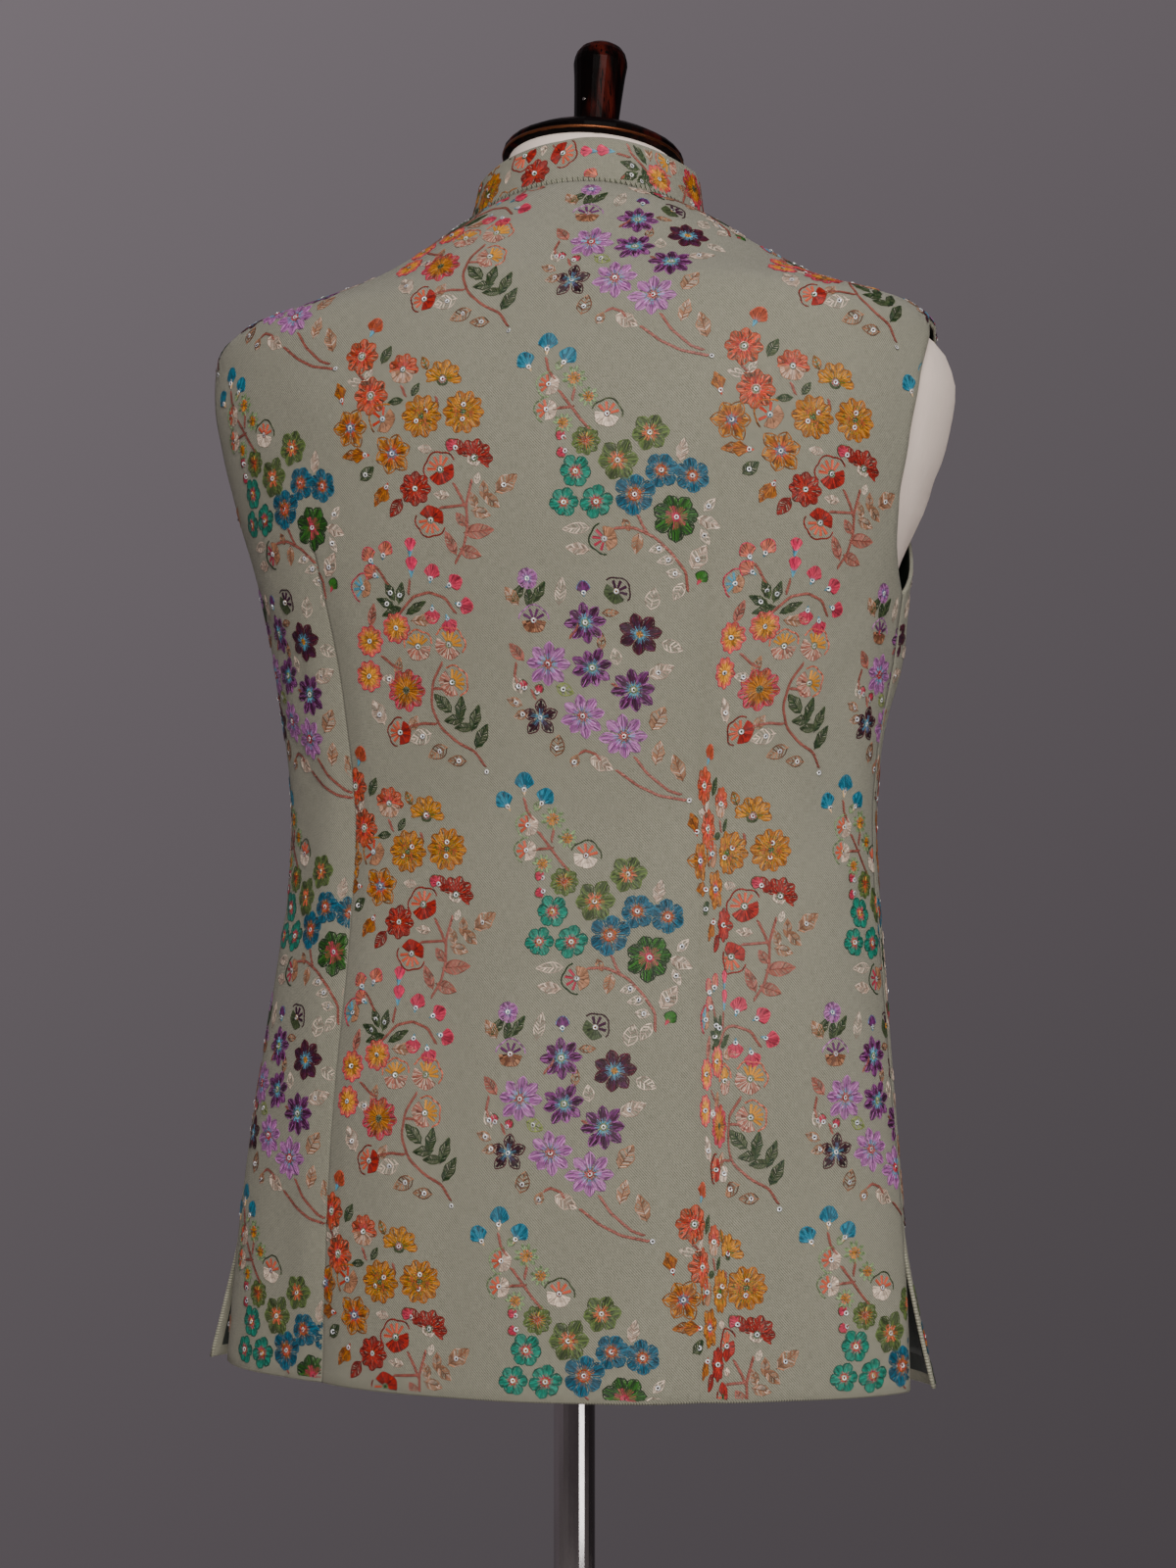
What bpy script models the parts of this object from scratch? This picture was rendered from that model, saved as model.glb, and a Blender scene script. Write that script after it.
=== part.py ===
# A sleeveless waistcoat with a stand collar, worn by a limbless dress form on a pole.
# Metres. X runs to the wearer's left, Y to the back, Z up, and the origin is on the floor
# under the pole. Every cloth piece is a wall on one body surface, which is a stack of loops.

import math

import bpy
import numpy as np

WALL = 0.0022  # outer cloth with its interlining and facing
LINING_WALL = 0.0009
GAP = 0.0003  # between pieces that meet

HEM_Z = 0.840
NECK_Z = 1.502  # neck end of the shoulder seam
LEFT_DROP = 0.0072  # the left shoulder lies this much lower than the right one
NECK_TWIST = 0.115  # rise of the neckline towards the right of centre back, for each metre across
VENT_TOP_Z = 0.925
VENT_FLARE = 0.012  # how far the front's vent corner stands out at the hem
VENT_OPEN = 0.005  # how far the back's vent edge has drawn in at the hem
FRONT_LAP = 0.012  # each front goes this far past the centre line
LAP_CLEAR = 0.0010  # between the two fronts there
LAP_SLOPE = (-0.046, -0.024)  # from the centre line: where the right front bends under the left
FORM_LAP_SLOPE = (-0.085, -0.048)  # and where the form makes room for it
VENT_REACH = 0.055  # from the side seam: how far the vent corner's flare spreads
COLLAR_HEIGHT = 0.0285
COLLAR_CORNER = 0.016
COLLAR_CLEAR = 0.0011  # above the neckline's edge, which it follows on other columns
COLLAR_SPLIT = 0.004  # from the centre line to each collar end

BACK_COLUMNS = 28
FRONT_COLUMNS = 13
FRONT_CROWDING = 1.35  # draws the front's columns together towards its side edge
LINING_COLUMNS = (1, 4)  # the lining shows a turned edge's width in from the cloth's edges
LINING_ROWS = (1, 6)
COLLAR_COLUMNS = 40
COLLAR_CROWDING = 0.35  # draws the collar's columns together towards its two ends
COLLAR_ROWS = (0, 0.25, 0.6, 1)
FORM_COLUMNS = 40
ROUND_SIDES = 28

# One row for each loop round the body, from the hem to the neckline, on the cloth's outside.
# z is the height at the side; half the half width; side_y, back_y and front_y are where
# the loop passes the side, the centre back and the centre front; back_up and front_down raise
# and lower it there; power is the superellipse exponent; ease is how far in the form lies.
SECTION_COLUMNS = ("z", "half", "side_y", "back_y", "front_y", "back_up", "front_down", "power", "ease")
SECTIONS = (
    (0.8400, 0.2040, 0.024, 0.126, -0.112, 0.000, 0.000, 1.60, 0.0200),
    (0.8850, 0.2005, 0.022, 0.123, -0.114, 0.000, 0.000, 1.66, 0.0190),
    (0.9500, 0.1945, 0.016, 0.117, -0.117, 0.000, 0.000, 1.78, 0.0180),
    (1.0180, 0.1863, 0.005, 0.108, -0.120, 0.000, 0.000, 1.92, 0.0170),
    (1.0860, 0.1785, -0.006, 0.097, -0.121, 0.000, 0.000, 2.02, 0.0160),
    (1.1530, 0.1730, -0.012, 0.091, -0.122, 0.000, 0.000, 2.10, 0.0150),
    (1.2210, 0.1790, -0.012, 0.099, -0.124, 0.000, 0.001, 2.15, 0.0115),
    (1.2890, 0.1905, -0.010, 0.111, -0.126, 0.000, 0.003, 2.20, 0.0075),
    (1.3350, 0.2065, -0.018, 0.117, -0.125, 0.001, 0.008, 2.20, 0.0050),
    (1.3680, 0.2175, -0.023, 0.119, -0.123, 0.003, 0.014, 2.20, 0.0045),
    (1.4010, 0.2230, -0.022, 0.115, -0.119, 0.006, 0.025, 2.20, 0.0045),
    (1.4200, 0.2200, -0.014, 0.109, -0.115, 0.008, 0.034, 2.20, 0.0055),
    (1.4380, 0.2085, 0.004, 0.101, -0.112, 0.010, 0.041, 2.18, 0.0070),
    (1.4472, 0.1960, 0.004, 0.096, -0.110, 0.011, 0.044, 2.16, 0.0055),
    (1.4570, 0.1640, 0.000, 0.088, -0.107, 0.012, 0.048, 2.12, 0.0042),
    (1.4640, 0.1430, -0.005, 0.081, -0.105, 0.013, 0.051, 2.10, 0.0040),
    (1.4805, 0.1115, -0.013, 0.065, -0.101, 0.014, 0.056, 2.06, 0.0038),
    (1.4949, 0.0860, -0.022, 0.049, -0.097, 0.015, 0.060, 2.02, 0.0034),
    (1.5020, 0.0690, -0.028, 0.040, -0.094, 0.0145, 0.062, 2.00, 0.0030),
)

# The armhole's edge: how far it lies from the side or shoulder line, round the loop.
ARMHOLE_COLUMNS = ("z", "back", "front")
ARMHOLE = (
    (1.2830, 0.000, 0.000),
    (1.2950, 0.015, 0.020),
    (1.3160, 0.036, 0.050),
    (1.3450, 0.053, 0.078),
    (1.3750, 0.060, 0.088),
    (1.4000, 0.057, 0.084),
    (1.4180, 0.042, 0.074),
    (1.4320, 0.018, 0.040),
    (1.4380, 0.000, 0.000),
)

# Long darts and soft folds. place is the share of the way round from centre back to centre
# front, sunk is how deep the trough is (a ridge is below zero), width its half width.
FOLD_COLUMNS = ("sides", "place", "top", "low", "sunk", "width")
FOLDS = (
    ((1,), 0.258, 1.345, 0.800, 0.0042, 0.011),
    ((-1,), 0.212, 1.345, 0.800, 0.0050, 0.014),
    ((1, -1), 0.315, 1.010, 0.800, 0.0030, 0.022),
    ((1, -1), 0.150, 1.060, 0.800, -0.0030, 0.030),
    ((1,), 0.370, 1.250, 1.050, 0.0022, 0.020),
    ((-1,), 0.390, 1.300, 1.120, 0.0026, 0.018),
    ((1, -1), 0.740, 1.250, 0.930, 0.0030, 0.012),
    ((1, -1), 0.640, 0.990, 0.800, -0.0030, 0.030),
    ((1, -1), 0.540, 1.330, 1.195, -0.0040, 0.026),
    ((-1,), 0.540, 1.330, 1.215, -0.0040, 0.020),
)

PANEL_HEIGHTS = (
    0.840, 0.856, 0.874, 0.895, 0.925, 0.955, 0.985, 1.020, 1.055, 1.090, 1.125, 1.160, 1.195,
    1.230, 1.260, 1.283, 1.300, 1.320, 1.345, 1.370, 1.395, 1.416, 1.430, 1.438, 1.4472, 1.457,
    1.4690, 1.4820, 1.4949, 1.502,
)

COLLAR_LEAN = {"back": 26.0, "side": 8.0, "front": 2.0}  # degrees inward from upright

FORM_BOTTOM_Z = 0.885
FORM_HEIGHTS = (
    0.885, 0.930, 0.985, 1.040, 1.095, 1.153, 1.210, 1.260, 1.300, 1.335, 1.368, 1.395, 1.412,
    1.426, 1.438, 1.4472, 1.457, 1.4690, 1.4820, 1.4949, 1.502,
)
NECK_RADIUS = 0.0495
NECK_ROWS = (0.35, 0.7, 1.0)
NECK_DRAW = 0.75  # below 1, the neck narrows fast from the shoulders
CAP_CENTRE = (0.0, -0.0385, 1.538)
CAP_TILT = math.radians(14.5)  # the neck leans to the front
CAP_PROFILE = (
    (0.0500, 0.0000), (0.0530, 0.0014), (0.0530, 0.0056), (0.0514, 0.0078), (0.0440, 0.0122),
    (0.0310, 0.0172), (0.0160, 0.0198), (0.0095, 0.0203),
)
WASHER_PROFILE = ((0.0088, 0.0206), (0.0088, 0.0219), (0.0080, 0.0228))
FINIAL_PROFILE = (
    (0.0122, 0.0231), (0.0130, 0.0241), (0.0134, 0.0325), (0.0141, 0.0440), (0.0150, 0.0560),
    (0.0159, 0.0640), (0.0156, 0.0670), (0.0145, 0.0706), (0.0122, 0.0739), (0.0085, 0.0762),
    (0.0040, 0.0773),
)

POLE_RADIUS = 0.012
BASE_PROFILE = (
    (0.1730, 0.0000), (0.1750, 0.0030), (0.1750, 0.0120), (0.1700, 0.0160), (0.0500, 0.0200),
    (0.0260, 0.0230), (0.0220, 0.0270), (0.0200, 0.0470), (0.0180, 0.0490),
)

BUTTON_COUNT = 6
BUTTON_TOP_Z = 1.405
BUTTON_LOW_Z = 0.960
BUTTON_PROFILE = ((0.0086, 0.0000), (0.0090, 0.0009), (0.0086, 0.0026), (0.0070, 0.0032), (0.0056, 0.0026))
BUTTON_SIDES = 16
BUTTON_STAND = 0.0005  # on its thread, clear of the curved front

COLOURS = {
    "cloth": ((0.235, 0.225, 0.165), 0.85, 0.0),
    "lining": ((0.020, 0.045, 0.035), 0.55, 0.0),
    "button": ((0.060, 0.050, 0.030), 0.35, 0.0),
    "linen": ((0.520, 0.430, 0.310), 0.90, 0.0),
    "dark_wood": ((0.035, 0.010, 0.006), 0.22, 0.0),
    "chrome": ((0.620, 0.620, 0.630), 0.08, 1.0),
    "steel": ((0.420, 0.410, 0.400), 0.30, 1.0),
    "base_paint": ((0.020, 0.020, 0.022), 0.40, 0.0),
}


def smooth_rows(rows, heights):
    # A monotone cubic through the rows of a table, whose first column is the height.
    table = np.array(rows, float)
    z, values = table[:, 0], table[:, 1:]
    step = np.diff(z)[:, None]
    slope = np.diff(values, axis=0) / step
    tangent = np.zeros_like(values)
    tangent[0], tangent[-1] = slope[0], slope[-1]
    before, after = slope[:-1], slope[1:]
    same_way = before * after > 0
    harmonic = np.where(same_way, 2 * before * after / np.where(same_way, before + after, 1), 0)
    tangent[1:-1] = harmonic
    heights = np.clip(np.atleast_1d(heights), z[0], z[-1])
    row = np.clip(np.searchsorted(z, heights, side="right") - 1, 0, len(z) - 2)
    t = ((heights - z[row]) / (z[row + 1] - z[row]))[:, None]
    h = step[row]
    return (
        (2 * t**3 - 3 * t**2 + 1) * values[row]
        + (t**3 - 2 * t**2 + t) * h * tangent[row]
        + (3 * t**2 - 2 * t**3) * values[row + 1]
        + (t**3 - t**2) * h * tangent[row + 1]
    )


def smoothstep(low, high, value):
    t = np.clip((value - low) / (high - low), 0, 1)
    return t * t * (3 - 2 * t)


class Loop:
    # One level loop of the body: points by their distance round it from the centre back.
    def __init__(self, z):
        row = dict(zip(SECTION_COLUMNS[1:], smooth_rows(SECTIONS, z)[0]))
        angle = np.linspace(0, math.pi, 361)
        sine, cosine = np.sin(angle), np.cos(angle)
        power = 2 / row["power"]
        reach = np.where(cosine > 0, row["back_y"] - row["side_y"], row["side_y"] - row["front_y"])
        share = np.abs(cosine) ** power
        self.behind = np.where(cosine > 0, share, 0.0)
        self.shoulder = LEFT_DROP * smoothstep(1.36, 1.43, z)
        self.neck = NECK_TWIST * smoothstep(1.46, NECK_Z, z)
        self.x = row["half"] * np.abs(sine) ** power
        self.y = row["side_y"] + np.sign(cosine) * reach * share
        rise = np.where(cosine > 0, row["back_up"] * share**2, -row["front_down"] * share**1.5)
        self.z = z + rise
        steps = np.sqrt(np.diff(self.x) ** 2 + np.diff(self.y) ** 2 + np.diff(self.z) ** 2)
        self.s = np.concatenate([[0], np.cumsum(steps)])
        self.side = self.s[180]
        self.length = self.s[-1]
        self.ease = row["ease"]

    def point(self, s):
        sign = -1.0 if s < 0 else 1.0
        s = abs(s)
        if s > self.length:
            s = 2 * self.length - s
            sign = -sign
        x, y, z, behind = (np.interp(s, self.s, row) for row in (self.x, self.y, self.z, self.behind))
        x *= sign
        z -= self.shoulder * smoothstep(0.035, 0.105, x) + self.neck * x * behind
        return np.array([x, y, z])


LOOPS = {}


def loop(z):
    key = round(float(z), 6)
    if key not in LOOPS:
        LOOPS[key] = Loop(key)
    return LOOPS[key]


def body_frame(z, s):
    # The point on the surface and the normal that points out of the body.
    here = loop(z)
    along = here.point(s + 0.002) - here.point(s - 0.002)
    share = s / here.length
    low, high = loop(max(z - 0.003, HEM_Z)), loop(min(z + 0.003, NECK_Z))
    up = high.point(share * high.length) - low.point(share * low.length)
    normal = np.cross(up, along)
    return here.point(s), normal / np.linalg.norm(normal)


def fold_lift(z, s):
    here = loop(z)
    lift = 0.0
    for row in FOLDS:
        fold = dict(zip(FOLD_COLUMNS, row))
        for side in fold["sides"]:
            away = (s - side * fold["place"] * here.length) / fold["width"]
            fade = smoothstep(fold["top"], fold["top"] - 0.11, z) * smoothstep(fold["low"], fold["low"] + 0.05, z)
            lift -= fold["sunk"] * math.exp(-away * away) * fade
    return lift


def vent_share(z):
    return max(0.0, (VENT_TOP_Z - z) / (VENT_TOP_Z - HEM_Z))


def armhole_inset(z):
    if z <= ARMHOLE[0][0] or z >= ARMHOLE[-1][0]:
        return {"back": 0.0, "front": 0.0}
    return dict(zip(ARMHOLE_COLUMNS[1:], smooth_rows(ARMHOLE, z)[0]))


def back_edge(z):
    return loop(z).side - armhole_inset(z)["back"] - VENT_OPEN * vent_share(z) ** 1.5 - GAP / 2


def front_edge(z):
    return loop(z).side + armhole_inset(z)["front"] + GAP / 2


def back_lift(z, s):
    return fold_lift(z, s)


def front_lift(z, s, under):
    # The vent corner stands out, and the right front passes under the left one.
    from_side = abs(s) - loop(z).side
    lift = fold_lift(z, s) + VENT_FLARE * vent_share(z) ** 1.3 * math.exp(-((from_side / VENT_REACH) ** 2))
    if under:
        lift -= (WALL + LAP_CLEAR) * smoothstep(*LAP_SLOPE, abs(s) - loop(z).length)
    return lift


def wall_grid(heights, stations, lift_of, depth=WALL, inset=0.0):
    # Outer and inner points of a panel: a row for each height, with a point at each station.
    outer, inner = [], []
    for z in heights:
        top_row, inner_row = [], []
        for s in stations(z):
            point, normal = body_frame(z, s)
            lift = lift_of(z, s) - inset
            top_row.append(point + normal * lift)
            inner_row.append(point + normal * (lift - depth))
        outer.append(top_row)
        inner.append(inner_row)
    return np.array(outer), np.array(inner)


def material(name):
    colour, roughness, metallic = COLOURS[name]
    made = bpy.data.materials.get(name) or bpy.data.materials.new(name)
    made.use_nodes = True
    shader = made.node_tree.nodes["Principled BSDF"]
    shader.inputs["Base Color"].default_value = (*colour, 1)
    shader.inputs["Roughness"].default_value = roughness
    shader.inputs["Metallic"].default_value = metallic
    return made


def add_object(name, points, faces, finish):
    mesh = bpy.data.meshes.new(name)
    mesh.from_pydata([tuple(map(float, point)) for point in points], [], faces)
    mesh.validate()
    mesh.update()
    obj = bpy.data.objects.new(name, mesh)
    bpy.context.scene.collection.objects.link(obj)
    mesh.materials.append(material(finish))
    mesh.shade_smooth()
    mesh.set_sharp_from_angle(angle=math.radians(40))
    return obj


def facing_out(points, faces):
    # Turns every face round when the closed shape has its faces pointing in.
    points = np.array(points, float)
    volume = 0.0
    for face in faces:
        first = points[face[0]]
        for second, third in zip(face[1:-1], face[2:]):
            volume += np.dot(first, np.cross(points[second], points[third]))
    return faces if volume > 0 else [tuple(reversed(face)) for face in faces]


def add_wall(name, outer, inner, finish):
    rows, columns = outer.shape[:2]
    points = np.concatenate([outer.reshape(-1, 3), inner.reshape(-1, 3)])
    behind = rows * columns

    def at(row, column, layer=0):
        return layer * behind + row * columns + column

    faces = []
    for row in range(rows - 1):
        for column in range(columns - 1):
            low, high = at(row, column), at(row + 1, column + 1)
            for third in ((low, at(row, column + 1), high), (low, high, at(row + 1, column))):
                faces.append(third)
                faces.append(tuple(behind + index for index in reversed(third)))
    rim = [(0, column) for column in range(columns)]
    rim += [(row, columns - 1) for row in range(1, rows)]
    rim += [(rows - 1, column) for column in range(columns - 2, -1, -1)]
    rim += [(row, 0) for row in range(rows - 2, 0, -1)]
    for here, there in zip(rim, rim[1:] + rim[:1]):
        faces.append((at(*there), at(*here), at(*here, 1), at(*there, 1)))
    return add_object(name, points, facing_out(points, faces), finish)


def add_rings(name, rings, finish):
    # A solid through closed rings of points, with a flat face on its first and last ring.
    count = len(rings[0])
    points = np.concatenate(rings)
    faces = [tuple(range(count)), tuple(reversed(range(len(points) - count, len(points))))]
    for ring in range(len(rings) - 1):
        for index in range(count):
            after = (index + 1) % count
            low, high = ring * count, (ring + 1) * count
            faces.append((low + after, low + index, high + index, high + after))
    return add_object(name, points, facing_out(points, faces), finish)


def add_turned(name, profile, centre, axis, finish, sides=ROUND_SIDES):
    # A profile of (radius, height) pairs, turned about an axis through centre.
    axis = np.array(axis, float) / np.linalg.norm(axis)
    across = np.array([1.0, 0.0, 0.0]) - axis[0] * axis
    across /= np.linalg.norm(across)
    beyond = np.cross(axis, across)
    rings = []
    for radius, height in profile:
        angles = 2 * math.pi * np.arange(sides) / sides
        ring = np.outer(np.cos(angles), across) + np.outer(np.sin(angles), beyond)
        rings.append(np.array(centre) + axis * height + radius * ring)
    return add_rings(name, rings, finish)


def add_back():
    def stations(z):
        return np.linspace(-back_edge(z), back_edge(z), BACK_COLUMNS + 1)

    outer, inner = wall_grid(PANEL_HEIGHTS, stations, back_lift)
    add_wall("back", outer, inner, "cloth")


def add_front(side_name, side, under):
    # Each front with the stretch of its lining that shows inside the vent, on the same columns.
    shares = np.linspace(0, 1, FRONT_COLUMNS) ** FRONT_CROWDING

    def stations(z):
        centre = loop(z).length
        to_centre = front_edge(z) + (centre - front_edge(z)) * shares
        return side * np.append(to_centre, centre + FRONT_LAP)

    def lining_stations(z):
        return stations(z)[LINING_COLUMNS[0] : LINING_COLUMNS[1] + 1]

    def lift(z, s):
        return front_lift(z, s, under)

    outer, inner = wall_grid(PANEL_HEIGHTS, stations, lift)
    add_wall(f"front_{side_name}", outer, inner, "cloth")
    heights = PANEL_HEIGHTS[LINING_ROWS[0] : LINING_ROWS[1]]
    outer, inner = wall_grid(heights, lining_stations, lift, depth=LINING_WALL, inset=WALL + GAP)
    add_wall(f"lining_{side_name}", outer, inner, "lining")


def collar_point(s, height):
    # A stand collar: up from the neckline and leaning in, by an angle that turns round the neck.
    base, _ = body_frame(NECK_Z, s)
    here = loop(NECK_Z)
    share = abs(s) / here.length
    lean = np.interp(share, (0, 0.5, 1), (COLLAR_LEAN["back"], COLLAR_LEAN["side"], COLLAR_LEAN["front"]))
    along = here.point(s + 0.002) - here.point(s - 0.002)
    outward = np.cross([0.0, 0.0, 1.0], along)
    outward /= np.linalg.norm(outward)
    turned = math.radians(float(lean))
    rising = np.array([0.0, 0.0, 1.0]) * math.cos(turned) - outward * math.sin(turned)
    facing = outward * math.cos(turned) + np.array([0.0, 0.0, 1.0]) * math.sin(turned)
    return base + rising * height, facing


def collar_top(s):
    # The height of the stand, rounded off at its two front ends.
    from_end = loop(NECK_Z).length - COLLAR_SPLIT - abs(s)
    if from_end >= COLLAR_CORNER:
        return COLLAR_HEIGHT
    return COLLAR_HEIGHT - COLLAR_CORNER + math.sqrt(max(0.0, COLLAR_CORNER**2 - (COLLAR_CORNER - from_end) ** 2))


def add_collar():
    end = loop(NECK_Z).length - COLLAR_SPLIT
    outer, inner = [], []
    for share in COLLAR_ROWS:
        outer_row, inner_row = [], []
        for column in range(COLLAR_COLUMNS + 1):
            way = 2 * column / COLLAR_COLUMNS - 1
            s = end * (COLLAR_CROWDING * math.sin(0.5 * math.pi * way) + (1 - COLLAR_CROWDING) * way)
            height = COLLAR_CLEAR + (collar_top(s) - COLLAR_CLEAR) * share
            point, facing = collar_point(s, height)
            outer_row.append(point)
            inner_row.append(point - facing * WALL)
        outer.append(outer_row)
        inner.append(inner_row)
    add_wall("collar", np.array(outer), np.array(inner), "cloth")


def add_buttons():
    heights = np.linspace(HEM_Z, NECK_Z, 300)
    fronts = np.array([loop(z).z[-1] for z in heights])
    for number in range(BUTTON_COUNT):
        z_front = BUTTON_TOP_Z + (BUTTON_LOW_Z - BUTTON_TOP_Z) * number / (BUTTON_COUNT - 1)
        z = float(np.interp(z_front, fronts, heights))
        s = loop(z).length
        point, normal = body_frame(z, s)
        seat = point + normal * (front_lift(z, s, under=False) + BUTTON_STAND)
        add_turned(f"button_{number + 1}", BUTTON_PROFILE, seat, normal, "button", sides=BUTTON_SIDES)


def form_ring(z):
    here = loop(z)
    ring = []
    for index in range(FORM_COLUMNS):
        s = 2 * here.length * index / FORM_COLUMNS
        s = s if s <= here.length else s - 2 * here.length
        point, normal = body_frame(z, s)
        under_lap = (WALL + LAP_CLEAR + GAP) * smoothstep(*FORM_LAP_SLOPE, abs(s) - here.length)
        point = point - normal * (here.ease + under_lap)
        if z == FORM_BOTTOM_Z:
            point[2] = FORM_BOTTOM_Z
        ring.append(point)
    return np.array(ring)


def add_form():
    rings = [form_ring(z) for z in FORM_HEIGHTS]
    base = rings[-1]
    tilt = np.array([0.0, -math.sin(CAP_TILT), math.cos(CAP_TILT)])
    centre = np.array(CAP_CENTRE) - tilt * GAP
    back = np.cross([1.0, 0.0, 0.0], tilt) * -1
    angles = 2 * math.pi * np.arange(FORM_COLUMNS) / FORM_COLUMNS
    top = centre + NECK_RADIUS * (np.outer(np.sin(angles), [1.0, 0.0, 0.0]) + np.outer(np.cos(angles), back))
    for share in NECK_ROWS:
        drawn_in = share**NECK_DRAW
        ring = base + (top - base) * np.array([drawn_in, drawn_in, share])
        rings.append(ring)
    add_rings("form_torso", rings, "linen")


def add_neck_cap():
    axis = (0.0, -math.sin(CAP_TILT), math.cos(CAP_TILT))
    add_turned("neck_cap", CAP_PROFILE, CAP_CENTRE, axis, "dark_wood", sides=36)
    add_turned("cap_washer", WASHER_PROFILE, CAP_CENTRE, axis, "steel", sides=24)
    add_turned("finial", FINIAL_PROFILE, CAP_CENTRE, axis, "dark_wood", sides=24)


def add_stand():
    upright = (0.0, 0.0, 1.0)
    pole = ((POLE_RADIUS, BASE_PROFILE[-1][1] + GAP), (POLE_RADIUS, FORM_BOTTOM_Z - GAP))
    add_turned("pole", pole, (0, 0, 0), upright, "chrome", sides=24)
    add_turned("base", BASE_PROFILE, (0, 0, 0), upright, "base_paint", sides=48)


def main():
    for old in list(bpy.data.objects):
        bpy.data.objects.remove(old)
    add_back()
    add_front("left", 1, under=False)
    add_front("right", -1, under=True)
    add_collar()
    add_buttons()
    add_form()
    add_neck_cap()
    add_stand()


main()
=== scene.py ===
import math

import bmesh
import bpy
import numpy as np
from mathutils import Matrix, Vector


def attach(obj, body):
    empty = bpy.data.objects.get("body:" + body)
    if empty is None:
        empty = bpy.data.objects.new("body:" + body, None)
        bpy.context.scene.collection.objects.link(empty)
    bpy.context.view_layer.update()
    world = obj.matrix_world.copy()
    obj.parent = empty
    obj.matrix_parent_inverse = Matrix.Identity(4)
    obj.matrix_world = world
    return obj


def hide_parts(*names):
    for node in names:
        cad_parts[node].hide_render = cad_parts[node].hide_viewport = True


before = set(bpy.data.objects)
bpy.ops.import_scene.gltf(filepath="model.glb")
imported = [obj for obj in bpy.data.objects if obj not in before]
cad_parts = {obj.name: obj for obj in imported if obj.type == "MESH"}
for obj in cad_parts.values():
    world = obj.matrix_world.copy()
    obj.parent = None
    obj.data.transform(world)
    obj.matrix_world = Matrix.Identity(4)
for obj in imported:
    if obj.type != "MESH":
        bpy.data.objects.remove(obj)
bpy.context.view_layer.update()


def smoothStep(low, high, value):
    t = np.clip((value - low) / (high - low), 0, 1)
    return t * t * (3 - 2 * t)


def unit(vectors):
    return vectors / np.maximum(np.linalg.norm(vectors, axis=-1, keepdims=True), 1e-12)


def linearColour(red, green, blue):
    # A colour as the eye sees it, out of 255, made linear for a shader.
    value = np.array([red, green, blue]) / 255
    return np.where(value <= 0.04045, value / 12.92, ((value + 0.055) / 1.055) ** 2.4)


def quickMesh(name, points, faces, materials, smooth=True):
    # An object from arrays of points and of faces that all have as many corners.
    mesh = bpy.data.meshes.new(name)
    corners = faces.shape[1]
    mesh.vertices.add(len(points))
    mesh.vertices.foreach_set("co", np.ascontiguousarray(points, dtype=np.float32).ravel())
    mesh.loops.add(faces.size)
    mesh.loops.foreach_set("vertex_index", np.ascontiguousarray(faces, dtype=np.int32).ravel())
    mesh.polygons.add(len(faces))
    mesh.polygons.foreach_set("loop_start", np.arange(0, faces.size, corners, dtype=np.int32))
    mesh.update(calc_edges=True)
    for finish in materials:
        mesh.materials.append(finish)
    if smooth:
        mesh.shade_smooth()
    made = bpy.data.objects.new(name, mesh)
    bpy.context.scene.collection.objects.link(made)
    return made


def giveUv(made, name, perCorner):
    layer = made.data.uv_layers.new(name=name)
    layer.data.foreach_set("uv", np.ascontiguousarray(perCorner, dtype=np.float32).ravel())


def onPart(made, slot, *nodes):
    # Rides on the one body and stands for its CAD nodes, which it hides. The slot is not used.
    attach(made, "root")
    if nodes:
        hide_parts(*nodes)
    return made


class Wires:
    # Short ways to add and join nodes in one tree.
    def __init__(self, tree):
        self.tree = tree

    def join(self, output, socket):
        self.tree.links.new(output, socket)

    def add(self, kind, sockets=None, **settings):
        made = self.tree.nodes.new(kind)
        for key, value in settings.items():
            setattr(made, key, value)
        for key, value in (sockets or {}).items():
            if isinstance(value, bpy.types.NodeSocket):
                self.join(value, made.inputs[key])
            else:
                made.inputs[key].default_value = value
        return made

    def math(self, operation, first, second=0.5, third=0.5):
        return self.add("ShaderNodeMath", {0: first, 1: second, 2: third}, operation=operation).outputs[0]

    def wave(self, value, rate):
        return self.math("ABSOLUTE", self.math("SINE", self.math("MULTIPLY", value, rate)))

    def mix(self, factor, first, second):
        sockets = {0: factor, 6: colour4(first), 7: colour4(second)}
        return self.add("ShaderNodeMix", sockets, data_type="RGBA").outputs[2]

    def noise(self, vector, scale, detail=2.0, rough=0.5):
        sockets = {"Vector": vector, "Scale": scale, "Detail": detail, "Roughness": rough}
        return self.add("ShaderNodeTexNoise", sockets).outputs[0]

    def scaled(self, vector, size):
        return self.add("ShaderNodeMapping", {"Vector": vector, "Scale": size}).outputs[0]

    def ramp(self, value, low, high):
        sockets = {"Value": value, "From Min": low, "From Max": high}
        return self.add("ShaderNodeMapRange", sockets, interpolation_type="SMOOTHSTEP").outputs[0]

    def group(self, tree, sockets):
        return self.add("ShaderNodeGroup", sockets, node_tree=tree).outputs

    def uneven(self, vector, scale):
        return self.group(effects["uneven"], {"Vector": vector, "Scale": scale})

    def objectPlace(self):
        return self.add("ShaderNodeTexCoord").outputs["Object"]

    def uv(self, name):
        return self.add("ShaderNodeUVMap", uv_map=name).outputs[0]


def colour4(value):
    return value if isinstance(value, bpy.types.NodeSocket) else (*value[:3], 1.0)


def newGroup(name, inputs, outputs):
    tree = bpy.data.node_groups.new(name, "ShaderNodeTree")
    for way, sockets in (("INPUT", inputs), ("OUTPUT", outputs)):
        for socket, kind in sockets:
            tree.interface.new_socket(socket, in_out=way, socket_type="NodeSocket" + kind)
    wires = Wires(tree)
    return tree, wires, wires.add("NodeGroupInput").outputs, wires.add("NodeGroupOutput").inputs


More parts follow.
